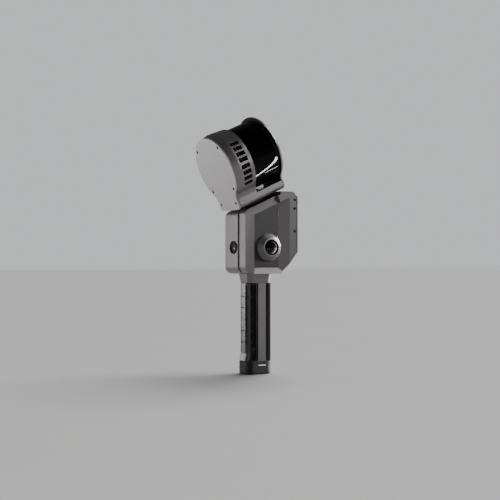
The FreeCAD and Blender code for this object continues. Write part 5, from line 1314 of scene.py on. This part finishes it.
BUTTON_BACK = 54.0
BUTTON_HEIGHT = 258.0
BUTTON = [
    (0, -4.6), (7.25, -4.6), (7.25, -3.75), (5.95, -3.75), (5.95, 0.75), (4.6, 0.75), (2.4, 0.35), (0, 0.25),
]
SOCKET_BACK = 51.0
SOCKET_HEIGHT = 220.0
ROUND_SOCKET_ACROSS = 7
ROUND_SOCKET = [(2.9, -5.6), (3.5, -5.6), (3.5, 0.4), (2.9, 0.4)]
SOCKET_PIN = [(0, -5.6), (0.6, -5.6), (0.6, -0.6), (0.2, -0.15), (0, -0.15)]
FLAT_SOCKET_ACROSS = -6.5
# The flat socket's four edges from inside to outside: half width, half height, place along the depth
FLAT_EDGES = ((4.1, 1.3, 45.6), (4.1, 1.3, 51.3), (4.4, 1.6, 51.4), (4.4, 1.6, 45.6))
FLAT_CORNER = 1.25
# Its tongue's half width and half height, and its two ends
TONGUE = (3.2, 0.35)
TONGUE_ENDS = (45.6, 50.6)


class SCANNER_OT_rear_details(bpy.types.Operator):
    """Power button, its light ring, and the shells of the two sockets behind the door"""

    bl_idname = "scanner.rear_details"
    bl_label = "Make the details of the back"

    def execute(self, context):
        place = frame_from((0, BUTTON_BACK * MM, BUTTON_HEIGHT * MM), (0, 1, 0))
        button = rounded_loop(BUTTON, [0, 0.1, 0.1, 0, 0.45, 0.5, 1.0, 0], 4)
        lathe_piece("round_button", button, place, "power_button", "button_metal", ["power_button"], 96)
        ring_piece(
            "light_ring", place, "body", "light_pipe", ["status_ring"], inner_radius=8.0 * MM,
            outer_radius=9.6 * MM, low=-1.5 * MM, high=0.0, edge=0.2 * MM, sides=96.0,
        )
        mouth = frame_from((ROUND_SOCKET_ACROSS * MM, SOCKET_BACK * MM, SOCKET_HEIGHT * MM), (0, 1, 0))
        tube = rounded_loop(ROUND_SOCKET, [0, 0, 0.15, 0.15], 3)
        lathe_piece("round_socket", tube, mouth, "body", "steel", (), 64)
        pin = rounded_loop(SOCKET_PIN, [0, 0, 0.2, 0.1, 0], 3, False)
        lathe_piece("socket_pin", pin, mouth, "body", "thread_brass", (), 32)
        piece = link("flat_socket", flat_socket("flat_socket"))
        smooth(piece.data, degrees=40)
        finish_piece(piece, "body", FINISHES["steel"])
        return {"FINISHED"}


def flat_socket(name):
    """Pressed metal shell of the flat socket: a rounded tube with a tongue inside."""

    def spot(x, back, z):
        return ((FLAT_SOCKET_ACROSS + x) * MM, back * MM, (SOCKET_HEIGHT + z) * MM)

    def rectangle(x, z):
        return [(-x, -z, 0), (x, -z, 0), (x, z, 0), (-x, z, 0)]

    corners = []
    for half_wide, half_high, back in FLAT_EDGES:
        outline = rounded_loop(rectangle(half_wide, half_high), [FLAT_CORNER] * 4, 5)
        corners += [spot(x, back, z) for x, z, _ in outline]
    count = len(outline)
    faces = []
    for k in range(4):
        low = k * count
        high = (k + 1) % 4 * count
        for i in range(count):
            after = (i + 1) % count
            faces.append((low + i, low + after, high + after, high + i))
    start = len(corners)
    for back in TONGUE_ENDS:
        corners += [spot(x, back, z) for x, z, _ in rectangle(*TONGUE)]
    for quad in ((0, 1, 2, 3), (7, 6, 5, 4), (0, 4, 5, 1), (1, 5, 6, 2), (2, 6, 7, 3), (3, 7, 4, 0)):
        faces.append(tuple(start + i for i in quad))
    return mesh_from(name, corners, faces)


class SCANNER_OT_inner_parts(bpy.types.Operator):
    """Finishes for the frame's parts that keep their shape"""

    bl_idname = "scanner.inner_parts"
    bl_label = "Finish the inner parts"

    def execute(self, context):
        for node, piece in NODES.items():
            if not piece.hide_render:
                dress_node(node, FINISHES[SLOT_OF[node]])
        return {"FINISHED"}


# Stage


class ScannerStage(bpy.types.PropertyGroup):
    """Camera, floor and backdrop."""

    distance: length_property("Distance", "From the object's upright axis to the camera", 1.539, min=0.3)
    height: length_property("Height", "Camera height over the floor", 0.175, min=0.0)
    bearing: FloatProperty(
        name="Bearing", description="Camera's turn from the front camera's side towards +X",
        default=math.radians(60), subtype="ANGLE", unit="ROTATION",
    )
    lens: FloatProperty(
        name="Lens", description="Focal length", default=68.4, min=10.0, unit="CAMERA",
    )
    floor_colour: colour_property("Floor", "Colour of the floor", (0.78, 0.77, 0.76))
    backdrop: FloatProperty(
        name="Backdrop", description="Brightness of the plain backdrop", default=0.8, min=0.0, max=2.0
    )


# How far the photograph's framing shifts the picture, across and up
CAMERA_SHIFT = (-0.0135, 0.03)


def add_camera(chosen):
    """Camera at the photograph's angle, level, and shifted as its framing asks."""
    data = bpy.data.cameras.new("camera")
    data.lens = chosen.lens
    data.shift_x, data.shift_y = CAMERA_SHIFT
    camera = bpy.data.objects.new("camera", data)
    bpy.context.scene.collection.objects.link(camera)
    out = Vector((math.sin(chosen.bearing), -math.cos(chosen.bearing), 0.0))
    camera.location = out * chosen.distance + Vector((0.0, 0.0, chosen.height))
    camera.rotation_euler = (-out).to_track_quat("-Z", "Y").to_euler()
    bpy.context.scene.camera = camera


def piece_group(name, pieces):
    """A collection of pieces that a light names."""
    group = bpy.data.collections.new(name)
    for piece in pieces:
        group.objects.link(piece)
    return group


def place_light(name, data, place, turn, lit=None, shaded_by=None):
    """Places a light that the camera doesn't see, and limits what it lights and what shades it where told."""
    light = bpy.data.objects.new(name, data)
    bpy.context.scene.collection.objects.link(light)
    light.location = place
    light.rotation_euler = turn
    light.visible_camera = False
    if lit:
        light.light_linking.receiver_collection = piece_group(f"lit_by_{name}", lit)
    if shaded_by:
        light.light_linking.blocker_collection = piece_group(f"shading_{name}", shaded_by)


def soft_box(name, power, wide, high):
    """A soft rectangular light."""
    data = bpy.data.lights.new(name, "AREA")
    data.shape = "RECTANGLE"
    data.size = wide
    data.size_y = high
    data.energy = power
    return data


def add_light(name, place, target, power, wide, high, lit=None, shaded_by=None):
    """A soft rectangular light that looks at a point."""
    turn = (Vector(target) - Vector(place)).to_track_quat("-Z", "Y").to_euler()
    place_light(name, soft_box(name, power, wide, high), place, turn, lit, shaded_by)


def add_strip(name, start, end, target, power, wide, lit):
    """A narrow straight light from one point to another, which faces a third."""
    start = Vector(start)
    end = Vector(end)
    middle = (start + end) / 2
    along = (end - start).normalized()
    away = middle - Vector(target)
    away = (away - along * away.dot(along)).normalized()
    turn = Matrix((along, away.cross(along), away)).transposed().to_euler()
    place_light(name, soft_box(name, power, (end - start).length, wide), middle, turn, lit)


FLOOR_REACH = 30.0


def add_floor(colour):
    """Pale floor, large enough to reach the horizon on every side."""
    corners = [(x * FLOOR_REACH, y * FLOOR_REACH, 0) for x, y in ((-1, -1), (1, -1), (1, 1), (-1, 1))]
    mesh = bpy.data.meshes.new("floor")
    mesh.from_pydata(corners, [], [(0, 1, 2, 3)])
    floor = link("floor", mesh)
    graph, surface = new_finish("floor", Roughness=0.6)
    tint = graph.spread(graph.noise(graph.place(), 3.0, 3.0), 0.3, 0.7, 0.985, 1.0)
    graph.join(graph.toned(colour, tint), surface["Base Color"])
    mesh.materials.append(FINISHES["floor"])
    return floor


# Glossy pieces that the broad lights leave out, so that they don't mirror them
GLASS = (
    "right_dome", "left_dome", "front_dome", "right_inner_lens", "left_inner_lens", "front_inner_lens",
    "drum_window",
)
# Where the lights look, besides the drum
BODY_MIDDLE = (0.0, 0.0, 0.22)
GRIP_MIDDLE = (0.0, 0.0, 0.1)
CAP_MIDDLE = (0.0, 0.0, 0.01)
# The lights that the window shows: name, start, end, power and width
WINDOW_STREAKS = (
    ("wide_streak", (0.124, 0.373, 0.024), (0.375, 0.354, 0.205), 2.0, 0.008),
    ("thin_streak", (0.102, 0.398, 0.034), (0.131, 0.424, 0.058), 0.15, 0.006),
)


def named(*words):
    """The pieces with these names."""
    return [bpy.data.objects[word] for word in words]


def light_all(solid):
    """Broad soft lights of the studio, on everything but the glass."""
    add_light("key", (-0.95, -1.4, 0.28), BODY_MIDDLE, 12, 0.9, 0.5, solid)
    add_light("front_fill", (1.05, -1.35, 0.35), BODY_MIDDLE, 1.3, 0.6, 0.9, solid)
    add_light("top_right", (0.75, 0.75, 1.25), BODY_MIDDLE, 5, 0.5, 0.4, solid)
    add_light("rim", (0.3, 1.4, 0.5), BODY_MIDDLE, 3, 0.3, 0.8, solid)
    add_light("far", (-0.95, 1.25, 0.45), BODY_MIDDLE, 3, 0.5, 0.9, solid)


def light_body():
    """The crescents on the bosses, the sheen of the side panels, and the edges of collar and cap."""
    sides = named("right_side_panel_shell", "left_side_panel_shell")
    for word, hand in (("right", 1), ("left", -1)):
        place = (-0.54 * hand, 1.15, 0.6)
        add_light(f"{word}_boss", place, (0.03 * hand, 0.0, 0.2), 65, 0.3, 0.3, sides, sides)
    add_light("panel", (1.3, -0.2, 0.5), BODY_MIDDLE, 3.2, 0.6, 0.6, sides)
    collar = named("handle_frame_shell")
    add_light("collar_edge", (-0.25, 1.15, 0.3), BODY_MIDDLE, 60, 0.7, 0.3, collar)
    add_light("cap_edge", (0.1, 1.3, 0.15), CAP_MIDDLE, 46, 0.5, 0.3, named("base_cap_shell"))


def light_head(drum):
    """The line on the end plate's rim, the light front plate, and the cradle under the drum."""
    add_strip("rim_line", (0.3, 0.0, 1.5), (1.3, 0.55, 0.75), drum, 9, 0.3, named("end_plate_shell"))
    add_light("plate", (-0.96, -0.52, 0.03), drum, 0.9, 0.5, 0.5, named("front_plate_shell"))
    cradle = named("head_base_shell", "vent_band_shell")
    add_light("cradle", (1.0, 0.55, 0.5), drum, 1.9, 0.2, 0.2, cradle)
    add_light("under_drum", (-1.04, 0.48, 0.69), drum, 0.3, 0.1, 0.1, named("head_base_shell"))


def light_handle():
    """The body's deck, the handle's strip, and the corner and sheen of the grips."""
    flanks = named("main_housing_shell", "handle_frame_shell")
    low_parts = named("handle_frame_shell", "base_cap_shell", "front_grip_rubber")
    grips = named("front_grip_rubber", "rear_grip_rubber")
    add_light("deck", (1.15, 0.7, 0.75), BODY_MIDDLE, 3.5, 0.3, 0.3, flanks)
    add_light("strip", (1.25, 0.75, 0.1), GRIP_MIDDLE, 1, 0.3, 0.3, low_parts)
    add_light("grip_corner", (0.6, -1.05, 0.15), GRIP_MIDDLE, 4, 0.15, 0.4, grips)
    add_light("grip_sheen", (-1.2, -0.75, 0.2), GRIP_MIDDLE, 9, 0.35, 0.35, grips)


def light_floor(floor):
    """A broad sun that lights the floor alone, where the object casts a soft shadow."""
    sun = bpy.data.lights.new("floor_light", "SUN")
    sun.energy = 2.5
    sun.angle = math.radians(45)
    place_light("floor_light", sun, (0, 0, 3), (math.radians(-28), math.radians(-12), 0), [floor])


class SCANNER_OT_stage(bpy.types.Operator):
    """Camera, pale floor, soft lights and a pale surround"""

    bl_idname = "scanner.stage"
    bl_label = "Set the stage"

    def execute(self, context):
        chosen = context.scene.scanner_stage
        drum = DRUM.translation
        add_camera(chosen)
        pieces = [piece for piece in context.scene.objects if piece.type == "MESH"]
        floor = add_floor(tuple(chosen.floor_colour))
        light_all([piece for piece in pieces if piece.name not in GLASS])
        light_body()
        light_head(drum)
        light_handle()
        for word, start, end, power, wide in WINDOW_STREAKS:
            add_strip(word, start, end, drum, power, wide, named("drum_window"))
        light_floor(floor)
        add_surround(context.scene, chosen)
        return {"FINISHED"}


# Which way the surround is brightest, and how bright it is there and on the camera's side
BEHIND_OBJECT = (-0.86, 0.5, 0.1)
SURROUND_DIM = 0.04
SURROUND_BRIGHT = 0.16
SURROUND_COLOUR = (0.80, 0.81, 0.83, 1.0)


def add_surround(scene, chosen):
    """Soft pale surround, brightest behind the object, and a plain backdrop for the camera."""
    world = bpy.data.worlds.new("studio")
    world.use_nodes = True
    graph = Graph(world.node_tree)
    background = world.node_tree.nodes["Background"].inputs
    heading = graph.add("ShaderNodeTexCoord").outputs["Generated"]
    behind = graph.vector("DOT_PRODUCT", heading, BEHIND_OBJECT, "Value")
    share = graph.spread(behind, -0.4, 0.9, SURROUND_DIM, SURROUND_BRIGHT)
    seen = graph.add("ShaderNodeLightPath").outputs["Is Camera Ray"]
    plain = graph.maths("MULTIPLY", seen, graph.maths("SUBTRACT", chosen.backdrop, share))
    graph.join(graph.maths("ADD", share, plain), background["Strength"])
    background["Color"].default_value = SURROUND_COLOUR
    scene.world = world


class SCANNER_PT_panel(bpy.types.Panel):
    """Lists the scanner's sizes, finishes and building steps"""

    bl_idname = "SCANNER_PT_panel"
    bl_label = "Handheld lidar scanner"
    bl_space_type = "VIEW_3D"
    bl_region_type = "UI"
    bl_category = "Scanner"

    def draw(self, context):
        layout = self.layout
        for step in STEPS:
            layout.operator(step.bl_idname)
        for word in PROPERTY_GROUPS:
            chosen = getattr(context.scene, word)
            for entry in chosen.bl_rna.properties:
                if not entry.is_readonly and entry.identifier != "name":
                    layout.prop(chosen, entry.identifier)


PROPERTY_GROUPS = {
    "scanner_finishes": ScannerFinishes,
    "scanner_drum": ScannerDrum,
    "scanner_grips": ScannerGrips,
    "scanner_stage": ScannerStage,
}
STEPS = (
    SCANNER_OT_finishes,
    SCANNER_OT_shells,
    SCANNER_OT_window,
    SCANNER_OT_screws,
    SCANNER_OT_side_cameras,
    SCANNER_OT_front_camera,
    SCANNER_OT_grips,
    SCANNER_OT_handle_details,
    SCANNER_OT_rear_details,
    SCANNER_OT_inner_parts,
    SCANNER_OT_stage,
)


def register():
    for group in PROPERTY_GROUPS.values():
        bpy.utils.register_class(group)
    for word, group in PROPERTY_GROUPS.items():
        setattr(bpy.types.Scene, word, PointerProperty(type=group))
    for step in STEPS:
        bpy.utils.register_class(step)
    bpy.utils.register_class(SCANNER_PT_panel)


def unregister():
    bpy.utils.unregister_class(SCANNER_PT_panel)
    for step in reversed(STEPS):
        bpy.utils.unregister_class(step)
    for word in PROPERTY_GROUPS:
        delattr(bpy.types.Scene, word)
    for group in PROPERTY_GROUPS.values():
        bpy.utils.unregister_class(group)


def main():
    register()
    for step in STEPS:
        group, name = step.bl_idname.split(".")
        getattr(getattr(bpy.ops, group), name)()


if __name__ == "__main__":
    main()
